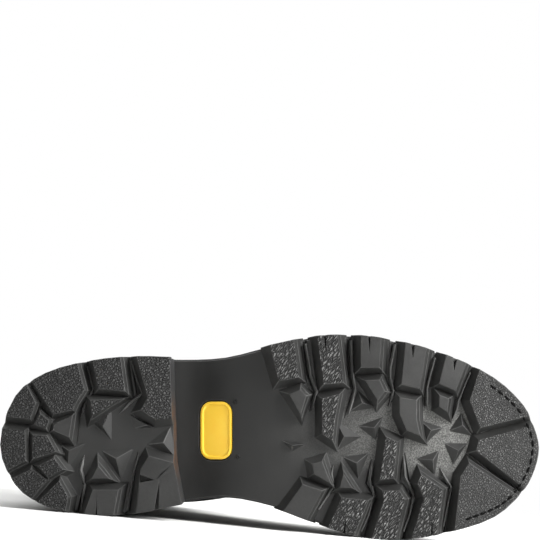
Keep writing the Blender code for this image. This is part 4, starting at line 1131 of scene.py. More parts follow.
# Sections of the last from toe to collar: low x, low z, high x, high z, outer reach,
# inner reach, share of the height at the widest place, centre. None follows the sole.
SECTIONS = (
    (295.4, None, 295.4, None, 0.5, 0.5, 0.30, 7.0),
    (294.8, None, 294.9, 40.0, 8.0, 8.0, 0.34, 7.0),
    (292.5, None, 292.8, 48.0, 15.5, 15.5, 0.36, 7.0),
    (287.5, None, 288.0, 55.5, 24.5, 23.5, 0.36, 7.0),
    (279.0, None, 279.5, 61.5, 33.5, 30.5, 0.34, 7.0),
    (266.0, None, 267.0, 67.0, 42.5, 37.0, 0.31, 6.5),
    (249.0, None, 251.5, 72.0, 48.5, 41.5, 0.28, 6.0),
    (229.0, None, 234.0, 78.0, 51.5, 44.0, 0.26, 5.5),
    (207.0, None, 217.0, 85.5, 52.0, 43.5, 0.25, 5.0),
    (184.0, None, 201.0, 94.0, 50.5, 39.5, 0.24, 4.5),
    (161.0, None, 186.5, 103.5, 46.5, 34.5, 0.24, 3.5),
    (137.0, None, 173.0, 114.5, 42.0, 31.5, 0.24, 2.5),
    (112.0, None, 161.0, 126.0, 39.0, 31.0, 0.25, 2.0),
    (86.0, None, 151.0, 138.0, 37.5, 33.5, 0.27, 2.0),
    (60.0, None, 144.0, 148.5, 36.5, 34.0, 0.30, 2.0),
    (36.0, None, 139.5, 157.5, 36.0, 34.0, 0.34, 2.0),
    (19.0, None, 136.5, 165.0, 36.0, 34.0, 0.38, 2.0),
    (10.5, None, 134.3, 172.0, 36.0, 34.0, 0.41, 2.0),
    (7.4, 52.0, 132.6, 178.5, 36.0, 34.2, 0.43, 2.0),
    (6.5, 69.0, 131.0, 186.0, 36.0, 34.6, 0.45, 1.5),
    (8.5, 87.0, 129.6, 194.0, 36.3, 35.3, 0.47, 1.0),
    (12.5, 105.0, 128.4, 202.5, 37.0, 36.5, 0.48, 0.0),
    (16.5, 125.0, 127.4, 211.0, 38.0, 37.0, 0.49, -0.5),
    (18.0, 147.0, 126.6, 219.0, 39.0, 37.5, 0.50, -1.0),
    (17.0, 171.0, 126.0, 227.0, 40.0, 38.5, 0.50, -1.5),
    (15.0, 195.0, 125.4, 235.0, 41.0, 39.5, 0.50, -2.0),
    (12.5, 218.0, 125.0, 242.0, 42.0, 40.5, 0.50, -2.0),
    (10.0, 240.0, 124.7, 249.0, 42.5, 41.5, 0.50, -2.0),
    (8.0, 259.0, 124.5, 268.0, 43.0, 42.0, 0.50, -2.0),
)
COLLAR_AT = len(SECTIONS) - 2
BAND_AT = COLLAR_AT - COLLAR_BAND
# Swing of the heel's lower edge to the inner side, by section
HEEL_SWING = (
    (0, 0), (13, 0), (15, 0.5), (16, 1.5), (17, 3), (18, 2.7), (19, 2), (21, 1), (23, 0), (28, 0),
)
# Half width of the throat, by section
THROAT_HALF = ((0, 9), (9, 9), (12, 11), (16, 14), (22, 16), (28, 18))
LAST_STEP = 0.05
LAST_ACROSS = 120
SECTION_SAMPLES = 160


def feather(x):
    """Height of the welt's top, where the upper begins."""
    return seat(x) + WELT_THICKNESS + FEATHER_RISE


def sole_edge():
    """Function of x for the reach of the last's lower edge to the outer and inner side."""
    loop = outline_loop(LAST_INSET, LAST_SPANS)
    loop = np.roll(loop, -int(np.argmin(loop[:, 0])), axis=0)
    toe = int(np.argmax(loop[:, 0]))
    outer = loop[:toe + 1]
    inner = np.vstack([loop[toe:], loop[:1]])[::-1]

    def reach(x):
        """Reach to the outer and the inner side, rounded in at the heel."""
        far = max(x, HEEL_ROUND)
        lateral = -float(np.interp(far, outer[:, 0], outer[:, 1]))
        medial = float(np.interp(far, inner[:, 0], inner[:, 1]))
        if x >= HEEL_ROUND:
            return lateral, medial
        back = (HEEL_ROUND - x) / (HEEL_ROUND - LAST_INSET)
        half = (lateral + medial) / 2 * max(0.0, 1 - back ** ROUNDNESS) ** (1 / ROUNDNESS)
        start = (medial - lateral) / 2
        middle = start + (-HEEL_END[1] - start) * back * back
        return half - middle, half + middle
    return reach


def half_section(low, high, half, foot, widest, centre, swing, sign):
    """Points down one side of a section of the last, from its ridge to its lower edge."""
    tuck = math.acos((foot / half) ** (ROUNDNESS / 2))
    turn = np.linspace(math.pi / 2, -tuck, SECTION_SAMPLES)
    out = half * np.abs(np.cos(turn)) ** (2 / ROUNDNESS)
    above = widest + (1 - widest) * np.abs(np.sin(turn)) ** (2 / ROUNDNESS)
    below = widest * (1 - np.abs(np.sin(turn)) / math.sin(tuck))
    height = np.where(turn > 0, above, below)
    points = low + (high - low) * height[:, None]
    points[:, 1] = centre + swing * (1 - height) + sign * out
    return points


def run_of(points):
    """Distances from the start of a line of points to each of them."""
    return np.concatenate([[0], np.cumsum(np.linalg.norm(np.diff(points, axis=0), axis=1))])


def evened(points, run, count):
    """A line of points, read at even distances along its run."""
    even = np.linspace(0, run[-1], count)
    return np.stack([np.interp(even, run, points[:, k]) for k in range(3)], axis=1)


def last_tables():
    """Each side of the last: positions, lengths of the sections, and points along them."""
    edge_at = sole_edge()
    rows = []
    for at, (low_x, low_z, high_x, high_z, *widths) in enumerate(SECTIONS):
        low_z = feather(low_x) - FEATHER_DROP if low_z is None else low_z
        high_z = low_z + 1.0 if high_z is None else high_z
        rows.append((at, low_x, low_z, high_x, high_z, *widths))
    sole_ends = [row[:2] for row in rows[:HEEL_CORNER_AT + 1]]
    seam_ends = [row[:3] for row in rows[HEEL_CORNER_AT:]]
    places = np.arange(0, len(SECTIONS) - 1 + LAST_STEP / 2, LAST_STEP)
    lengths = ([], [])
    grids = ([], [])
    for at in places:
        _, _, high_x, high_z, lateral, medial, widest, centre = smooth(rows, at)
        swing = smooth(HEEL_SWING, at)
        feet = (0.0, 0.0)
        if at <= HEEL_CORNER_AT + 1e-6:
            low_x = smooth(sole_ends, at)
            low_z = feather(low_x) - FEATHER_DROP
            edges = edge_at(low_x)
            feet = (edges[0] + centre + swing, edges[1] - centre - swing)
        else:
            low_x, low_z = smooth(seam_ends, at)
        low = np.array([low_x, 0, low_z])
        high = np.array([high_x, 0, high_z])
        for side, (sign, half) in enumerate(((-1, lateral), (1, medial))):
            foot = max(feet[side], 0.0)
            half = max(half, foot + LEAST_BULGE)
            points = half_section(low, high, half, foot, widest, centre, swing, sign)
            run = run_of(points)
            lengths[side].append(run[-1])
            grids[side].append(evened(points, run, LAST_ACROSS))
    return places, np.array(lengths), np.array(grids)


LAST_AT, LAST_LENGTHS, LAST_POINTS = last_tables()
LAST_THROATS = np.array([
    [min(smooth(THROAT_HALF, at), THROAT_SHARE * length) for at, length in zip(LAST_AT, lengths)]
    for lengths in LAST_LENGTHS
])


def length_at(at, side):
    """Length of one side of a section, from the ridge to the lower edge."""
    return np.interp(at, LAST_AT, LAST_LENGTHS[side])


def throat_at(at, side):
    """Way from the ridge to the edge of the throat."""
    return np.interp(at, LAST_AT, LAST_THROATS[side])


def side_length(at, side):
    """Way from the edge of the throat to the lower edge."""
    return float(length_at(at, side) - throat_at(at, side))


def on_arc(at, side, arc):
    """Points of the last at distances along its sections from the ridge."""
    row = np.clip(np.asarray(at, float) / LAST_STEP, 0, len(LAST_AT) - 1.001)
    share = np.clip(np.asarray(arc, float) / length_at(at, side), 0, 1) * (LAST_ACROSS - 1.001)
    row, share = np.broadcast_arrays(row, share)
    low = row.astype(int)
    left = share.astype(int)
    down = (row - low)[..., None]
    across = (share - left)[..., None]
    grid = LAST_POINTS[side]
    near = grid[low, left] * (1 - across) + grid[low, left + 1] * across
    far = grid[low + 1, left] * (1 - across) + grid[low + 1, left + 1] * across
    return near * (1 - down) + far * down


def on_side(at, side, share):
    """Points of the last between throat edge (share 0) and sole edge (share 1)."""
    start = throat_at(at, side)
    return on_arc(at, side, start + share * (length_at(at, side) - start))


def column_length(at, side):
    """Length that the columns divide, run on before the heel's corner to stay in line."""
    own = float(length_at(at, side))
    if not RUN_ON_FROM < at < HEEL_CORNER_AT:
        return own
    corner = float(length_at(HEEL_CORNER_AT, side))
    first = float(length_at(RUN_ON_FROM, side))
    span = HEEL_CORNER_AT - RUN_ON_FROM
    curve = (corner - first - RUN_ON_SLOPE * span) / span ** 2
    away = HEEL_CORNER_AT - at
    return max(own, corner - RUN_ON_SLOPE * away - curve * away ** 2)


SEAM_REACH = 3.2
SEAM_EASE = 1.3
BAND_FROM = 21
STAY_SHARE = 0.34
STEP_SHARE = 0.02
STAY_COLUMNS = 9
STEP_COLUMNS = (0.33, 0.67, 1.0, 2.0)
SIDE_COLUMNS = 27
SOLE_EASE = 1.35


def swept(row, share):
    """Section of a grid row: rows sweep back down the vamp seam and up round the collar."""
    near_seam = math.exp(-((row - THROAT_AT) / SEAM_REACH) ** 2)
    near_band = np.interp(row, (BAND_FROM, BAND_AT, COLLAR_AT), (0, 1, 0))
    return row + SEAM_SWEEP * near_seam * share ** SEAM_EASE + COLLAR_SWEEP * near_band * share


def shares(row, side):
    """Grid columns down one side: eyestay, its step, then the rest, closer at the sole."""
    length = side_length(row, side)
    stay = min(STAY_WIDTH / length, STAY_SHARE)
    step = min(STEP_RUN / length, STEP_SHARE)
    near = np.concatenate([np.linspace(0, stay, STAY_COLUMNS), stay + step * np.array(STEP_COLUMNS)])
    rest = 1 - (1 - near[-1]) * np.linspace(1, 0, SIDE_COLUMNS)[1:] ** SOLE_EASE
    stretch = column_length(row, side) / float(length_at(row, side))
    return np.concatenate([near, np.minimum(rest * stretch, 1.0)]), stay, step


def step_up(value, start, run):
    """Smooth step from 0 to 1 that starts at a value and takes a run."""
    share = np.clip((np.asarray(value, float) - start) / run, 0, 1)
    return share * share * (3 - 2 * share)


# Creases of the walked-in leather: row, slant, from share, to share, depth, half width in rows
CREASES = (
    (5.9, 0.6, -0.3, 0.45, 0.55, 0.10),
    (6.7, 0.5, -0.3, 0.60, 0.8, 0.12),
    (7.6, 0.3, -0.3, 0.55, 0.6, 0.11),
    (13.2, 2.6, 0.24, 0.58, 0.8, 0.34),
    (15.4, 1.2, 0.12, 0.66, 1.1, 0.48),
    (18.0, -0.8, 0.26, 0.74, 1.2, 0.52),
    (20.2, -2.4, 0.14, 0.52, 0.9, 0.42),
)
CREASE_DRIFT = 0.12
CREASE_FADE = 0.4
RIDGE_AWAY = 2.0
RIDGE_SHARE = 0.42
STEP_ROWS = 0.05
CUFF_PAD = 0.9
# Runs of the upper's rows: from, to, count. The steps of the wall take closer rows of their own.
UPPER_RUNS = (
    (0, 3, 19), (3, THROAT_AT, 36), (9, 16, 50), (16, 17.2, 13), (17.4, BAND_AT, 46),
    (BAND_AT + 0.25, COLLAR_AT, 18),
)
STEP_RUNS = ((THROAT_AT, (0.017, 0.033, 0.05, 0.1)), (BAND_AT, (0.017, 0.033, 0.05, 0.12)))


def crease_depth(row, share, side):
    """Soft troughs across the ball and round the ankle, with a ridge on either side."""
    total = np.zeros_like(share)
    for number, (centre, slant, first, last, depth, half) in enumerate(CREASES):
        drift = CREASE_DRIFT * math.sin(number * 2.1 + side * 1.7)
        line = centre + drift + slant * (share - (first + last) / 2)
        away = (row - line) / half
        fade = CREASE_FADE * (last - first)
        window = step_up(share, first, fade) * (1 - step_up(share, last - fade, fade))
        ridges = np.exp(-(away - RIDGE_AWAY) ** 2) + np.exp(-(away + RIDGE_AWAY) ** 2)
        total = total + depth * window * (np.exp(-away ** 2) - RIDGE_SHARE * ridges)
    return total


def wall_at(row, share, stay, step, side):
    """Thickness of the upper with its overlays as steps, creases taken off."""
    quarter = step_up(row, THROAT_AT, STEP_ROWS)
    eyestay = quarter * (1 - step_up(share, stay, step))
    band = step_up(row, BAND_AT, STEP_ROWS)
    pad = band * CUFF_PAD * np.sin(np.pi * np.clip((row - BAND_AT) / COLLAR_BAND, 0, 1))
    plain = WALL + QUARTER_STEP * quarter + STAY_STEP * eyestay + COLLAR_STEP * band
    return plain + pad * (1 - eyestay) - crease_depth(row, share, side)


def upper_rows():
    """Rows of the upper's grid, close together at the steps of its wall."""
    runs = [np.linspace(*run) for run in UPPER_RUNS]
    steps = [start + np.array(rows) for start, rows in STEP_RUNS]
    return np.unique(np.round(np.concatenate(runs + steps), 4))


JOIN = 0.03
SLIVER = 0.001


def sheet_of(grids, towards):
    """Open surface joined from grids of (points, values): points, normals, values, faces."""
    bm = bmesh.new()
    layer = bm.verts.layers.float.new("value")
    for points, values in grids:
        verts = []
        for row, row_values in zip(points, values):
            made = []
            for point, value in zip(row, row_values):
                vert = bm.verts.new(point)
                vert[layer] = value
                made.append(vert)
            verts.append(made)
        for low, high in zip(verts, verts[1:]):
            for k in range(len(low) - 1):
                bm.faces.new((low[k], low[k + 1], high[k + 1], high[k]))
    bmesh.ops.remove_doubles(bm, verts=bm.verts, dist=JOIN)
    thin = [face for face in bm.faces if face.calc_area() < SLIVER]
    bmesh.ops.delete(bm, geom=thin, context="FACES_ONLY")
    loose = [vert for vert in bm.verts if not vert.link_faces]
    bmesh.ops.delete(bm, geom=loose, context="VERTS")
    bmesh.ops.recalc_face_normals(bm, faces=bm.faces)
    bm.normal_update()
    aim = Vector(towards)
    front = max(bm.verts, key=lambda vert: vert.co.dot(aim))
    if front.normal.dot(aim) < 0:
        bmesh.ops.reverse_faces(bm, faces=bm.faces)
        bm.normal_update()
    bm.verts.index_update()
    points = np.array([vert.co for vert in bm.verts])
    normals = np.array([vert.normal for vert in bm.verts])
    values = np.array([vert[layer] for vert in bm.verts])
    faces = [[vert.index for vert in face.verts] for face in bm.faces]
    bm.free()
    return points, normals, values, faces


# Rim of a shell: share of the way from skin to lining, share of the roll
RIM = ((0.12, 0.75), (0.35, 1.0), (0.65, 1.0), (0.88, 0.75))


def shell_of(name, sheet, inner, outer, roll, finishes, lowest=None):
    """Closed shell between two lifts of a sheet, with a rolled rim. Second finish inside."""
    points, normals, _, faces = sheet
    count = len(points)
    skin = points + normals * np.reshape(outer, (-1, 1))
    lining = points + normals * np.reshape(inner, (-1, 1))
    edges = dict.fromkeys(edge for face in faces for edge in zip(face, face[1:] + face[:1]))
    border = [(a, b) for a, b in edges if (b, a) not in edges]
    away = np.zeros_like(points)
    for a, b in border:
        out = np.cross(points[b] - points[a], normals[a] + normals[b])
        away[a] += out
        away[b] += out
    ring = sorted({index for edge in border for index in edge})
    lengths = np.linalg.norm(away[ring], axis=1)[:, None]
    away[ring] /= np.maximum(lengths, 1e-9)
    layers = [skin, lining]
    levels = [{index: index for index in ring}]
    for number, (share, bulge) in enumerate(RIM):
        layers.append(skin[ring] * (1 - share) + lining[ring] * share + away[ring] * roll * bulge)
        first = 2 * count + number * len(ring)
        levels.append({index: first + k for k, index in enumerate(ring)})
    levels.append({index: index + count for index in ring})
    shell = np.vstack(layers)
    if lowest is not None:
        shell[:, 2] = np.maximum(shell[:, 2], lowest(shell[:, 0]))
    shell_faces = faces + [[index + count for index in reversed(face)] for face in faces]
    for above, below in zip(levels, levels[1:]):
        shell_faces += [[above[b], above[a], below[a], below[b]] for a, b in border]
    mesh = bpy.data.meshes.new(name)
    mesh.from_pydata([tuple(point) for point in shell], [], shell_faces)
    mesh.shade_smooth()
    for finish in finishes:
        mesh.materials.append(finish)
    if len(finishes) > 1:
        for face in mesh.polygons[len(faces):2 * len(faces)]:
            face.material_index = 1
    mesh.validate()
    skin_tree = BVHTree.FromPolygons([tuple(point) for point in skin], faces)
    return place_piece(name, mesh), skin_tree


WELT_CLEAR = 0.3
WELT_PAST = 20.0
WELT_STATIONS = 120


def above_welt(x):
    """Lowest height of the upper's parts over the welt, for an array of places."""
    stations = np.linspace(-WELT_PAST, TOE_END[0] + WELT_PAST, WELT_STATIONS)
    heights = [feather(min(max(station, 0.0), TOE_END[0])) for station in stations]
    return np.interp(x, stations, heights) - FEATHER_RISE + WELT_CLEAR


UPPER_LEATHER = leather(
    "upper_leather", (0.0085, 0.008, 0.0078), (0.021, 0.02, 0.019), 0.5, 1.4, 0.00034,
)
LINING = brushed(
    "lining_leather", 1100.0, 25.0, 0.5, (0.13, 0.09, 0.055), (0.25, 0.18, 0.115), 0.75, 0.0001,
)
EYELETS = 8
EYELET_IN = 10.0
FIRST_EYELET = 4.0
LAST_EYELET = 9.0
EYELET_HOLE = 3.0
STAY_RUN = (THROAT_AT + 0.3, COLLAR_AT - 0.25)
STAY_SAMPLES = 400
FACING_ROWS = 0.05
FACING_REACH = 2.0
PUNCH_DEPTH = 24.0
PUNCH_SIDES = 20
VAMP_COLUMNS = 13
VAMP_SHARE = 0.16
UPPER_ROLL = 0.8


def unit(vectors):
    """Vectors of length one."""
    return vectors / np.linalg.norm(vectors, axis=-1, keepdims=True)


def over_throat(at, arc):
    """Points of the last at signed distances from its ridge, the inner side positive."""
    at, arc = np.broadcast_arrays(np.asarray(at, float), np.asarray(arc, float))
    return np.where((arc < 0)[..., None], on_arc(at, 0, -arc), on_arc(at, 1, arc))


def throat_facing(at, arc):
    """Outward directions of the last near its ridge."""
    along = over_throat(at + FACING_ROWS, arc) - over_throat(at - FACING_ROWS, arc)
    across = over_throat(at, arc + FACING_REACH) - over_throat(at, arc - FACING_REACH)
    return unit(np.cross(across, along))


def eyelet_spots():
    """Section and signed distance from the ridge of each eyelet, for both sides."""
    spots = []
    for side, sign in ((0, -1), (1, 1)):
        at = np.linspace(*STAY_RUN, STAY_SAMPLES)
        arc = sign * (throat_at(at, side) + EYELET_IN)
        run = run_of(over_throat(at, arc))
        found = np.interp(np.linspace(FIRST_EYELET, run[-1] - LAST_EYELET, EYELETS), run, at)
        spots.append([(spot, float(np.interp(spot, at, arc))) for spot in found])
    return spots


EYELET_SPOTS = eyelet_spots()


def punch(piece):
    """Cuts the eyelet holes through a laid shell."""
    bm = bmesh.new()
    for at, arc in EYELET_SPOTS[0] + EYELET_SPOTS[1]:
        turn = Vector(throat_facing(at, arc)).to_track_quat("Z", "Y").to_matrix().to_4x4()
        bmesh.ops.create_cone(
            bm, cap_ends=True, segments=PUNCH_SIDES, depth=PUNCH_DEPTH,
            radius1=EYELET_HOLE, radius2=EYELET_HOLE,
            matrix=Matrix.Translation(Vector(over_throat(at, arc))) @ turn,
        )
    tool = place_piece("eyelet_punch", mesh_from(bm, "eyelet_punch"))
    holes = piece.modifiers.new("holes", "BOOLEAN")
    holes.operation = "DIFFERENCE"
    holes.solver = "EXACT"
    holes.object = tool
    settled(piece)
    bpy.data.objects.remove(tool, do_unlink=True)


def make_upper():
    """Shell of the upper with its eyelet holes, and the search tree of its outer face."""
    rows = upper_rows()
    grids = []
    for side in (0, 1):
        points = []
        values = []
        for row in rows:
            columns, stay, step = shares(row, side)
            points.append(on_side(swept(row, columns), side, columns))
            values.append(wall_at(row, columns, stay, step, side))
        grids.append((points, values))
    across = np.linspace(-1, 1, VAMP_COLUMNS)
    points = []
    values = []
    for row in rows[rows <= THROAT_AT]:
        halves = np.where(across < 0, throat_at(row, 0), throat_at(row, 1))
        points.append(over_throat(row, across * halves))
        values.append(WALL - crease_depth(row, -VAMP_SHARE * (1 - np.abs(across)), 0))
    grids.append((points, values))
    sheet = sheet_of(grids, (0, -1, 0))
    inner = np.zeros(len(sheet[0]))
    finishes = (UPPER_LEATHER, LINING)
    piece, skin = shell_of("upper_leather", sheet, inner, sheet[2], UPPER_ROLL, finishes, above_welt)
    punch(piece)
    return piece, skin


upper, upper_skin = make_upper()
fix(upper, "upper_leather", "upper")

# Counter: a thinner leather overlay round the heel, its top edge falling from the back seam.
# It is cut from the upper's leather and sewn over the quarters with a double row.
# Its height over the welt goes by the sections of the last.
COUNTER = (
    (13.2, 14), (13.5, 30), (14, 48), (15, 70), (16, 82), (16.5, 85.7), (17, 88.3),
    (17.5, 82), (18, 75), (19, 61), (20, 45), (21, 26), (21.6, 8),
)
COUNTER_RUNS = ((13.2, 16.2, 31), (16.2, 17.4, 19), (17.4, 21.6, 43))
COUNTER_COLUMNS = 25
COUNTER_LIFT = WALL + QUARTER_STEP + 0.08
COUNTER_THICKNESS = 1.4
COUNTER_ROLL = 0.25


def counter_arc(at, side, share):
    """Share of the side's length at a share of the counter's height."""
    low = column_length(at, side)
    return np.minimum((low - smooth(COUNTER, at) * share) / length_at(at, side), 1.0)


def make_counter():
    """Shell of the counter, and the search tree of its outer face."""
    stations = np.unique(np.concatenate([np.linspace(*run) for run in COUNTER_RUNS]))
    columns = np.linspace(0, 1, COUNTER_COLUMNS)
    grids = []
    for side in (0, 1):
        points = [on_side(at, side, counter_arc(at, side, columns)) for at in stations]
        grids.append((points, np.zeros((len(stations), len(columns)))))
    sheet = sheet_of(grids, (-1, 0, 0))
    inner = np.full(len(sheet[0]), COUNTER_LIFT)
    outer = inner + COUNTER_THICKNESS
    return shell_of("heel_counter", sheet, inner, outer, COUNTER_ROLL, (UPPER_LEATHER,), above_welt)


counter, counter_skin = make_counter()
fix(counter, "upper_leather", "counter")

# Tongue: one soft piece of leather under the eyestays, thinned where the lace runs below them.
# Its top stands out of the collar with rounded corners.
TONGUE_HALF = 29.0
TONGUE_ROOT = THROAT_AT - 0.6
TONGUE_ROOT_HALF = 24.0
TONGUE_FULL_AT = 12.0
TONGUE_TOP = COLLAR_AT + 0.85
TONGUE_DEPTH = 1.5
TONGUE_THICKNESS = 3.5
TONGUE_THINNED = 1.45
TONGUE_CORNER = 1.3
TONGUE_TIP = 0.72
TONGUE_ROLL = 0.6
TONGUE_STATIONS = 90
CORNER_STATIONS = 16
TONGUE_COLUMNS = 41
THIN_FROM = 4.5
THIN_RUN = 4.0
THIN_STOPS = 0.5
RIPPLE = 0.35
RIPPLE_PACE = 2.1
RIPPLE_RUN = 2.0
TONGUE_LEATHER = leather(
    "tongue_leather", (0.01, 0.0095, 0.0092), (0.026, 0.025, 0.024), 0.58, 1.2, 0.0003,
)


def tongue_half(at):
    """Half width of the tongue, rounded at its top corners."""
    half = np.interp(at, (TONGUE_ROOT, TONGUE_FULL_AT), (TONGUE_ROOT_HALF, TONGUE_HALF))
    past = max(0.0, (at - (TONGUE_TOP - TONGUE_CORNER)) / TONGUE_CORNER)
    return half * (TONGUE_TIP + (1 - TONGUE_TIP) * math.sqrt(max(0.0, 1 - past * past)))


def make_tongue():
    """Shell of the tongue under the last's ridge."""
    stations = np.concatenate([
        np.linspace(TONGUE_ROOT, TONGUE_TOP - TONGUE_CORNER, TONGUE_STATIONS)[:-1],
        TONGUE_TOP - TONGUE_CORNER * np.cos(np.linspace(0, math.pi / 2, CORNER_STATIONS)),
    ])
    across = np.linspace(-1, 1, TONGUE_COLUMNS)
    points = []
    values = []
    for at in stations:
        arc = across * tongue_half(at)
        stop = min(at, COLLAR_AT)
        edge = np.where(arc < 0, throat_at(stop, 0), throat_at(stop, 1))
        under = step_up(np.abs(arc), edge - THIN_FROM, THIN_RUN)
        under = under * (1 - step_up(at, COLLAR_AT - THIN_STOPS, THIN_STOPS))
        ripple = RIPPLE * math.sin(at * RIPPLE_PACE) * (1 - across ** 2)
        ripple = ripple * step_up(at, TONGUE_FULL_AT, RIPPLE_RUN)
        points.append(over_throat(at, arc))
        values.append(-TONGUE_DEPTH - TONGUE_THINNED * under + ripple)
    sheet = sheet_of([(points, values)], (1, 0, 0))
    inner = np.full(len(sheet[0]), -TONGUE_DEPTH - TONGUE_THICKNESS)
    piece, _ = shell_of("tongue_leather", sheet, inner, sheet[2], TONGUE_ROLL, (TONGUE_LEATHER,))
    return piece


tongue = make_tongue()
fix(tongue, "tongue_leather", "tongue")

# Eyelets: sixteen aged brass rings with a rolled flange outside and a barrel through the stay.
# One node tree sets a ring on every marked place, turned to the leather there.
EYELET_RING = 3.95
EYELET_ROLL = 1.35
EYELET_BARREL = 2.8
EYELET_WALL = 0.3
EYELET_DEPTH = 4.6
EYELET_FLAT = 0.75
EYELET_SIDES = 28
ROLL_SIDES = 12


def stay_top(at):
    """Height of the eyestay's face above the last, with the cuff on it at the collar."""
    return WALL + QUARTER_STEP + STAY_STEP + COLLAR_STEP * float(at > BAND_AT)


def brass_finish():
    """Polished brass, browned in patches."""
    made, wire, shader, place = finish_nodes("aged_brass")
    tarnish = noise(wire, place, 240.0, 4.0)
    shade = rise(wire, tarnish, 0.4, 0.68)
    feed(
        wire, shader, blend(wire, shade, (0.55, 0.39, 0.16), (0.2, 0.13, 0.06)),
        0.3 + shade * 0.35, noise(wire, place, 1400.0), 0.00003,
    )
    shader.inputs["Metallic"].default_value = 1.0
    return made


def circle(wire, radius, sides):
    """Circle of a node tree."""
    return wire.node("GeometryNodeCurvePrimitiveCircle", {}, {"Radius": radius, "Resolution": sides})


def eyelet_tree():
    """Node tree that sets a rolled ring with its barrel on each point, along its facing."""
    wire, given = open_tree("eyelet_set", "Places", ("Ring", "Roll", "Barrel", "Wall", "Depth"))
    flange = wire.node("GeometryNodeCurveToMesh", {}, {
        "Curve": circle(wire, given["Ring"], EYELET_SIDES),
        "Profile Curve": circle(wire, given["Roll"], ROLL_SIDES),
    })
    flat = wire.node("GeometryNodeTransform", {}, {"Geometry": flange, "Scale": (1, 1, EYELET_FLAT)})
    bore = circle(wire, given["Barrel"], EYELET_SIDES)
    upright = wire.node("GeometryNodeSetCurveNormal", {"mode": "Z_UP"}, {"Curve": bore})
    wall = wire.node("GeometryNodeCurvePrimitiveQuadrilateral", {}, {
        "Width": given["Wall"], "Height": given["Depth"],
    })
    barrel = wire.node("GeometryNodeCurveToMesh", {}, {"Curve": upright, "Profile Curve": wall})
    drop = wire.node("ShaderNodeCombineXYZ", {}, {"Z": given["Depth"] * -0.5})
    sunk = wire.node("GeometryNodeTransform", {}, {"Geometry": barrel, "Translation": drop})
    both = wire.node("GeometryNodeJoinGeometry", {}, {"Geometry": flat})
    wire.tree.links.new(sunk.socket, both.socket.node.inputs["Geometry"])
    facing = wire.node(
        "GeometryNodeInputNamedAttribute", {"data_type": "FLOAT_VECTOR"}, {"Name": "facing"}, "Attribute",
    )
    turned = wire.node("FunctionNodeAlignRotationToVector", {"axis": "Z"}, {"Vector": facing})
    laid = wire.node("GeometryNodeInstanceOnPoints", {}, {
        "Points": given["Places"], "Instance": both, "Rotation": turned,
    })
    return close_tree(wire, laid, given["Finish"], True)


def make_eyelets():
    """Marks the places of the eyelets with their facings, and sets the rings there."""
    spots = EYELET_SPOTS[0] + EYELET_SPOTS[1]
    facings = [throat_facing(at, arc) for at, arc in spots]
    points = [over_throat(at, arc) + facing * stay_top(at) for (at, arc), facing in zip(spots, facings)]
    mesh = bpy.data.meshes.new("eyelets")
    mesh.from_pydata([tuple(point) for point in points], [], [])
    marks = mesh.attributes.new("facing", "FLOAT_VECTOR", "POINT")
    for mark, facing in zip(marks.data, facings):
        mark.vector = lying(facing)
    return grow(place_piece("eyelets", mesh), eyelet_tree(), {
        "Ring": EYELET_RING * MM, "Roll": EYELET_ROLL * MM, "Barrel": EYELET_BARREL * MM,
        "Wall": EYELET_WALL * MM, "Depth": EYELET_DEPTH * MM, "Finish": brass_finish(),
    })


EYELET_NODES = [f"eyelet_{side}_{k + 1}" for side in ("lateral", "medial") for k in range(EYELETS)]
eyelets = make_eyelets()
fix(eyelets, "eyelet_metal", *EYELET_NODES)

# Lace: one flat braided cord. It runs under the lowest pair of eyelets, comes up through each
# eyelet, crosses the tongue and dives under the far stay, and ends at the top pair.
LACE_WIDE = 2.2
LACE_THICK = 1.3
LACE_UNDER = -1.5
LACE_AROUND = 12
LACE_STEP = 0.55
LACE_SPANS = 12
LACE_END = 1.6
LACE_END_SIZE = 0.02
LACE_OVER = 1.45
LACE_BEND_AT = 14.0
LACE_BEND_RUN = 50.0
BRAID = 2.4
BRAID_STRANDS = 5
# The bar: share of the way from the ridge to the eyelet, height over the last
LACE_BAR = ((0.0, -0.4), (0.35, -0.6))
# Up out of an eyelet and down to one: way in from its middle, height over the last
LACE_OUT = ((0.0, 1.2), (0.0, 3.6), (0.25, 5.6), (1.5, 7.0), (3.6, 7.25), (6.5, 6.7), (9.5, 6.1))
LACE_IN = ((8.0, LACE_UNDER), (4.5, LACE_UNDER), (1.6, LACE_UNDER + 0.3), (0.3, -0.3))
# A crossing: share of the way over the throat, height over the last
LACE_CROSS = ((0.42, 3.0), (0.5, 2.4), (0.58, 1.8))
LACE_LAST = (1.2, 3.6, 6.4)


def cord_finish():
    """Braid: two sets of slanting strands that pass over each other, darker in the grooves between them
    as painted shade.
    """
    made, wire, shader, _ = finish_nodes("braided_cord")
    around, along, _ = split_place(wire, wire.node("ShaderNodeUVMap", {"uv_map": "cord"}))
    turns = around * (2 * math.pi * BRAID_STRANDS)
    right = wire.maths("SINE", turns + along * (2 * math.pi / BRAID))
    left = wire.maths("SINE", turns - along * (2 * math.pi / BRAID))
    height = wire.maths("MAXIMUM", right, left) * 0.5 + 0.5
    # Colour follows the braid's height: painted shade in the grooves between the strands
    colour = blend(wire, height, (0.006, 0.006, 0.006), (0.03, 0.03, 0.031))
    feed(wire, shader, colour, 0.85 - height * 0.15, height, 0.0004)
    return made


def through_eyelet(at, arc, steps):
    """Marks (section, signed arc, height) of the cord out of an eyelet or down to it."""
    inwards = -math.copysign(1.0, arc)
    return [(at, arc + inwards * away, height) for away, height in steps]


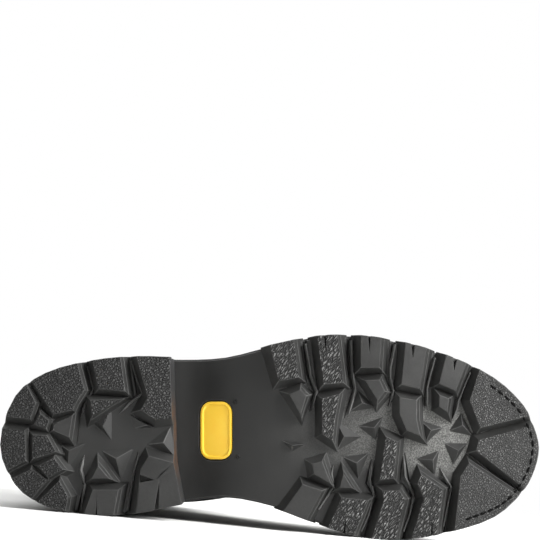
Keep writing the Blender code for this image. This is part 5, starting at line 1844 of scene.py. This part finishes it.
def lace_marks(start):
    """Marks of one half of the lace, from the middle of the bar to its end."""
    at, arc = EYELET_SPOTS[start][0]
    marks = [(at, arc * share, height) for share, height in LACE_BAR]
    marks += through_eyelet(at, arc, LACE_IN)
    side = start
    for number in range(EYELETS - 1):
        at, arc = EYELET_SPOTS[side][number]
        far_at, far_arc = EYELET_SPOTS[1 - side][number + 1]
        over = LACE_OVER if (number + start) % 2 else -LACE_OVER
        marks += through_eyelet(at, arc, LACE_OUT)
        marks += [
            (at + (far_at - at) * share, arc + (far_arc - arc) * share, height + over)
            for share, height in LACE_CROSS
        ]
        marks += through_eyelet(far_at, far_arc, LACE_IN)
        side = 1 - side
    at, arc = EYELET_SPOTS[side][-1]
    return marks + [(at, arc, height) for height in (*LACE_LAST, stay_top(at) + LACE_END)]


def heading_at(before, here, after, first, second):
    """Heading of a smooth curve at a point, from its neighbours and the steps to them."""
    return (here - before) / first - (after - before) / (first + second) + (after - here) / second


def curve_through(points, step):
    """Even samples of a smooth curve through points, and the way along it to each."""
    padded = np.vstack([2 * points[0] - points[1], points, 2 * points[-1] - points[-2]])
    gaps = np.maximum(np.linalg.norm(np.diff(padded, axis=0), axis=1), 1e-6) ** 0.5
    samples = []
    for k in range(len(points) - 1):
        before, here, there, after = padded[k:k + 4]
        leave = heading_at(before, here, there, gaps[k], gaps[k + 1]) * gaps[k + 1]
        arrive = heading_at(here, there, after, gaps[k + 1], gaps[k + 2]) * gaps[k + 1]
        samples += [bend(u, here, there, leave, arrive) for u in np.arange(LACE_SPANS) / LACE_SPANS]
    samples = np.array(samples + [points[-1]])
    run = run_of(samples)
    count = int(run[-1] / step)
    return evened(samples, run, count), np.linspace(0, run[-1], count)


def make_lace():
    """Runs the cord's flat section along its route, lying along the throat."""
    marks = np.array(lace_marks(0)[::-1] + lace_marks(1)[1:])
    places = over_throat(marks[:, 0], marks[:, 1])
    facings = throat_facing(marks[:, 0], marks[:, 1])
    line, run = curve_through(places + facings * marks[:, 2:3], LACE_STEP)
    heading = unit(np.gradient(line, axis=0))
    front = over_throat(np.array([THROAT_AT, LACE_BEND_AT, COLLAR_AT]), np.zeros(3))
    share = step_up(line[:, 2], front[1][2] - LACE_BEND_RUN / 2, LACE_BEND_RUN)[:, None]
    throat = unit(front[1] - front[0]) * (1 - share) + unit(front[2] - front[1]) * share
    wide = unit(throat - heading * np.sum(throat * heading, axis=1)[:, None])[:, None]
    thick = np.cross(heading, wide[:, 0])[:, None]
    turns = np.linspace(0, 2 * math.pi, LACE_AROUND, endpoint=False)[None, :, None]
    cap = np.clip(np.minimum(run, run[-1] - run) / LACE_THICK, 0, 1)
    size = np.sqrt(np.maximum(1 - (1 - cap) ** 2, LACE_END_SIZE))[:, None, None]
    ring = np.cos(turns) * LACE_WIDE * wide + np.sin(turns) * LACE_THICK * thick
    points = (line[:, None] + ring * size).reshape(-1, 3)
    mesh = bpy.data.meshes.new("lace_cord")
    mesh.from_pydata([tuple(point) for point in points], [], ring_faces(len(line), LACE_AROUND))
    spots = []
    for low, high in zip(run, run[1:]):
        for left, right in ((k / LACE_AROUND, (k + 1) / LACE_AROUND) for k in range(LACE_AROUND)):
            spots += [(left, low), (right, low), (right, high), (left, high)]
    spots += [(0.0, 0.0)] * (2 * LACE_AROUND)
    layer = mesh.uv_layers.new(name="cord")
    for corner, spot in zip(layer.data, spots):
        corner.uv = spot
    mesh.shade_smooth()
    mesh.materials.append(cord_finish())
    return place_piece("lace_cord", mesh)


lace = make_lace()
fix(lace, "lace_cord", "lace")

# Upper seams: double rows of waxed thread hold the quarters, eyestays, cuff and counter down,
# and single rows run along their free edges. Each line is laid on the finished leather.
SEAM_ROOM = 2.3
ROW_GAP = 2.5
STITCH_LIFT = 0.12
PROBE_REACH = 1.5
PROBE_ROWS = 0.03
PROBE_OUT = 4.5
VAMP_ROWS = (0.12, 0.25)
VAMP_SPAN = (0.03, 0.955, 90)
STAY_ROWS = (SEAM_ROOM, STAY_WIDTH - SEAM_ROOM, STAY_WIDTH - SEAM_ROOM - ROW_GAP)
STAY_SPAN = (THROAT_AT + 0.3, COLLAR_AT - 0.12, 150)
CUFF_ROWS = (0.16, 0.32)
CUFF_FROM = STAY_WIDTH + 3.0
BACK_SHARE = 0.985
CUFF_STITCHES = 70
COLLAR_ROW = COLLAR_AT - 0.3
COLLAR_SPAN = (0.03, BACK_SHARE, 80)
COUNTER_SPAN = (13.6, 21.2, 110)


def stitched(tree, at, side, share):
    """Point of a skin over a place on the last."""
    reach = PROBE_REACH / float(length_at(at, side))
    along = on_side(at + PROBE_ROWS, side, share) - on_side(at - PROBE_ROWS, side, share)
    down = on_side(at, side, min(share + reach, 1.0)) - on_side(at, side, max(share - reach, 0.0))
    facing = unit(np.cross(along, down) * (1 if side == 0 else -1))
    place, normal, _, _ = tree.find_nearest(Vector(on_side(at, side, share) + facing * PROBE_OUT))
    return place + normal * STITCH_LIFT


def on_row(row, side, share):
    """Point of the upper's skin on a row of its grid."""
    return stitched(upper_skin, swept(row, share), side, share)


def upper_lines():
    """Lines of the vamp seam, the eyestays, the cuff and the collar on both sides."""
    lines = []
    for side in (0, 1):
        for gap in VAMP_ROWS:
            lines.append([on_row(THROAT_AT + gap, side, share) for share in np.linspace(*VAMP_SPAN)])
        for room in STAY_ROWS:
            most = STAY_SHARE * room / STAY_WIDTH
            lines.append([
                on_row(row, side, min(room / side_length(row, side), most))
                for row in np.linspace(*STAY_SPAN)
            ])
        for row in (BAND_AT + gap for gap in CUFF_ROWS):
            places = np.linspace(CUFF_FROM / side_length(row, side), BACK_SHARE, CUFF_STITCHES)
            lines.append([on_row(row, side, share) for share in places])
        lines.append([on_row(COLLAR_ROW, side, share) for share in np.linspace(*COLLAR_SPAN)])
    return lines


def counter_lines():
    """Double row along the counter's top edge on both sides."""
    lines = []
    for side in (0, 1):
        for room in (SEAM_ROOM, SEAM_ROOM + ROW_GAP):
            line = []
            for at in np.linspace(*COUNTER_SPAN):
                share = float(counter_arc(at, side, 1 - room / smooth(COUNTER, at)))
                if share < BACK_SHARE:
                    line.append(stitched(counter_skin, at, side, share))
            lines.append(line)
    return lines


sew("upper_stitches", upper_lines(), "upper_leather", THREAD)
sew("counter_stitches", counter_lines(), "upper_leather", THREAD)
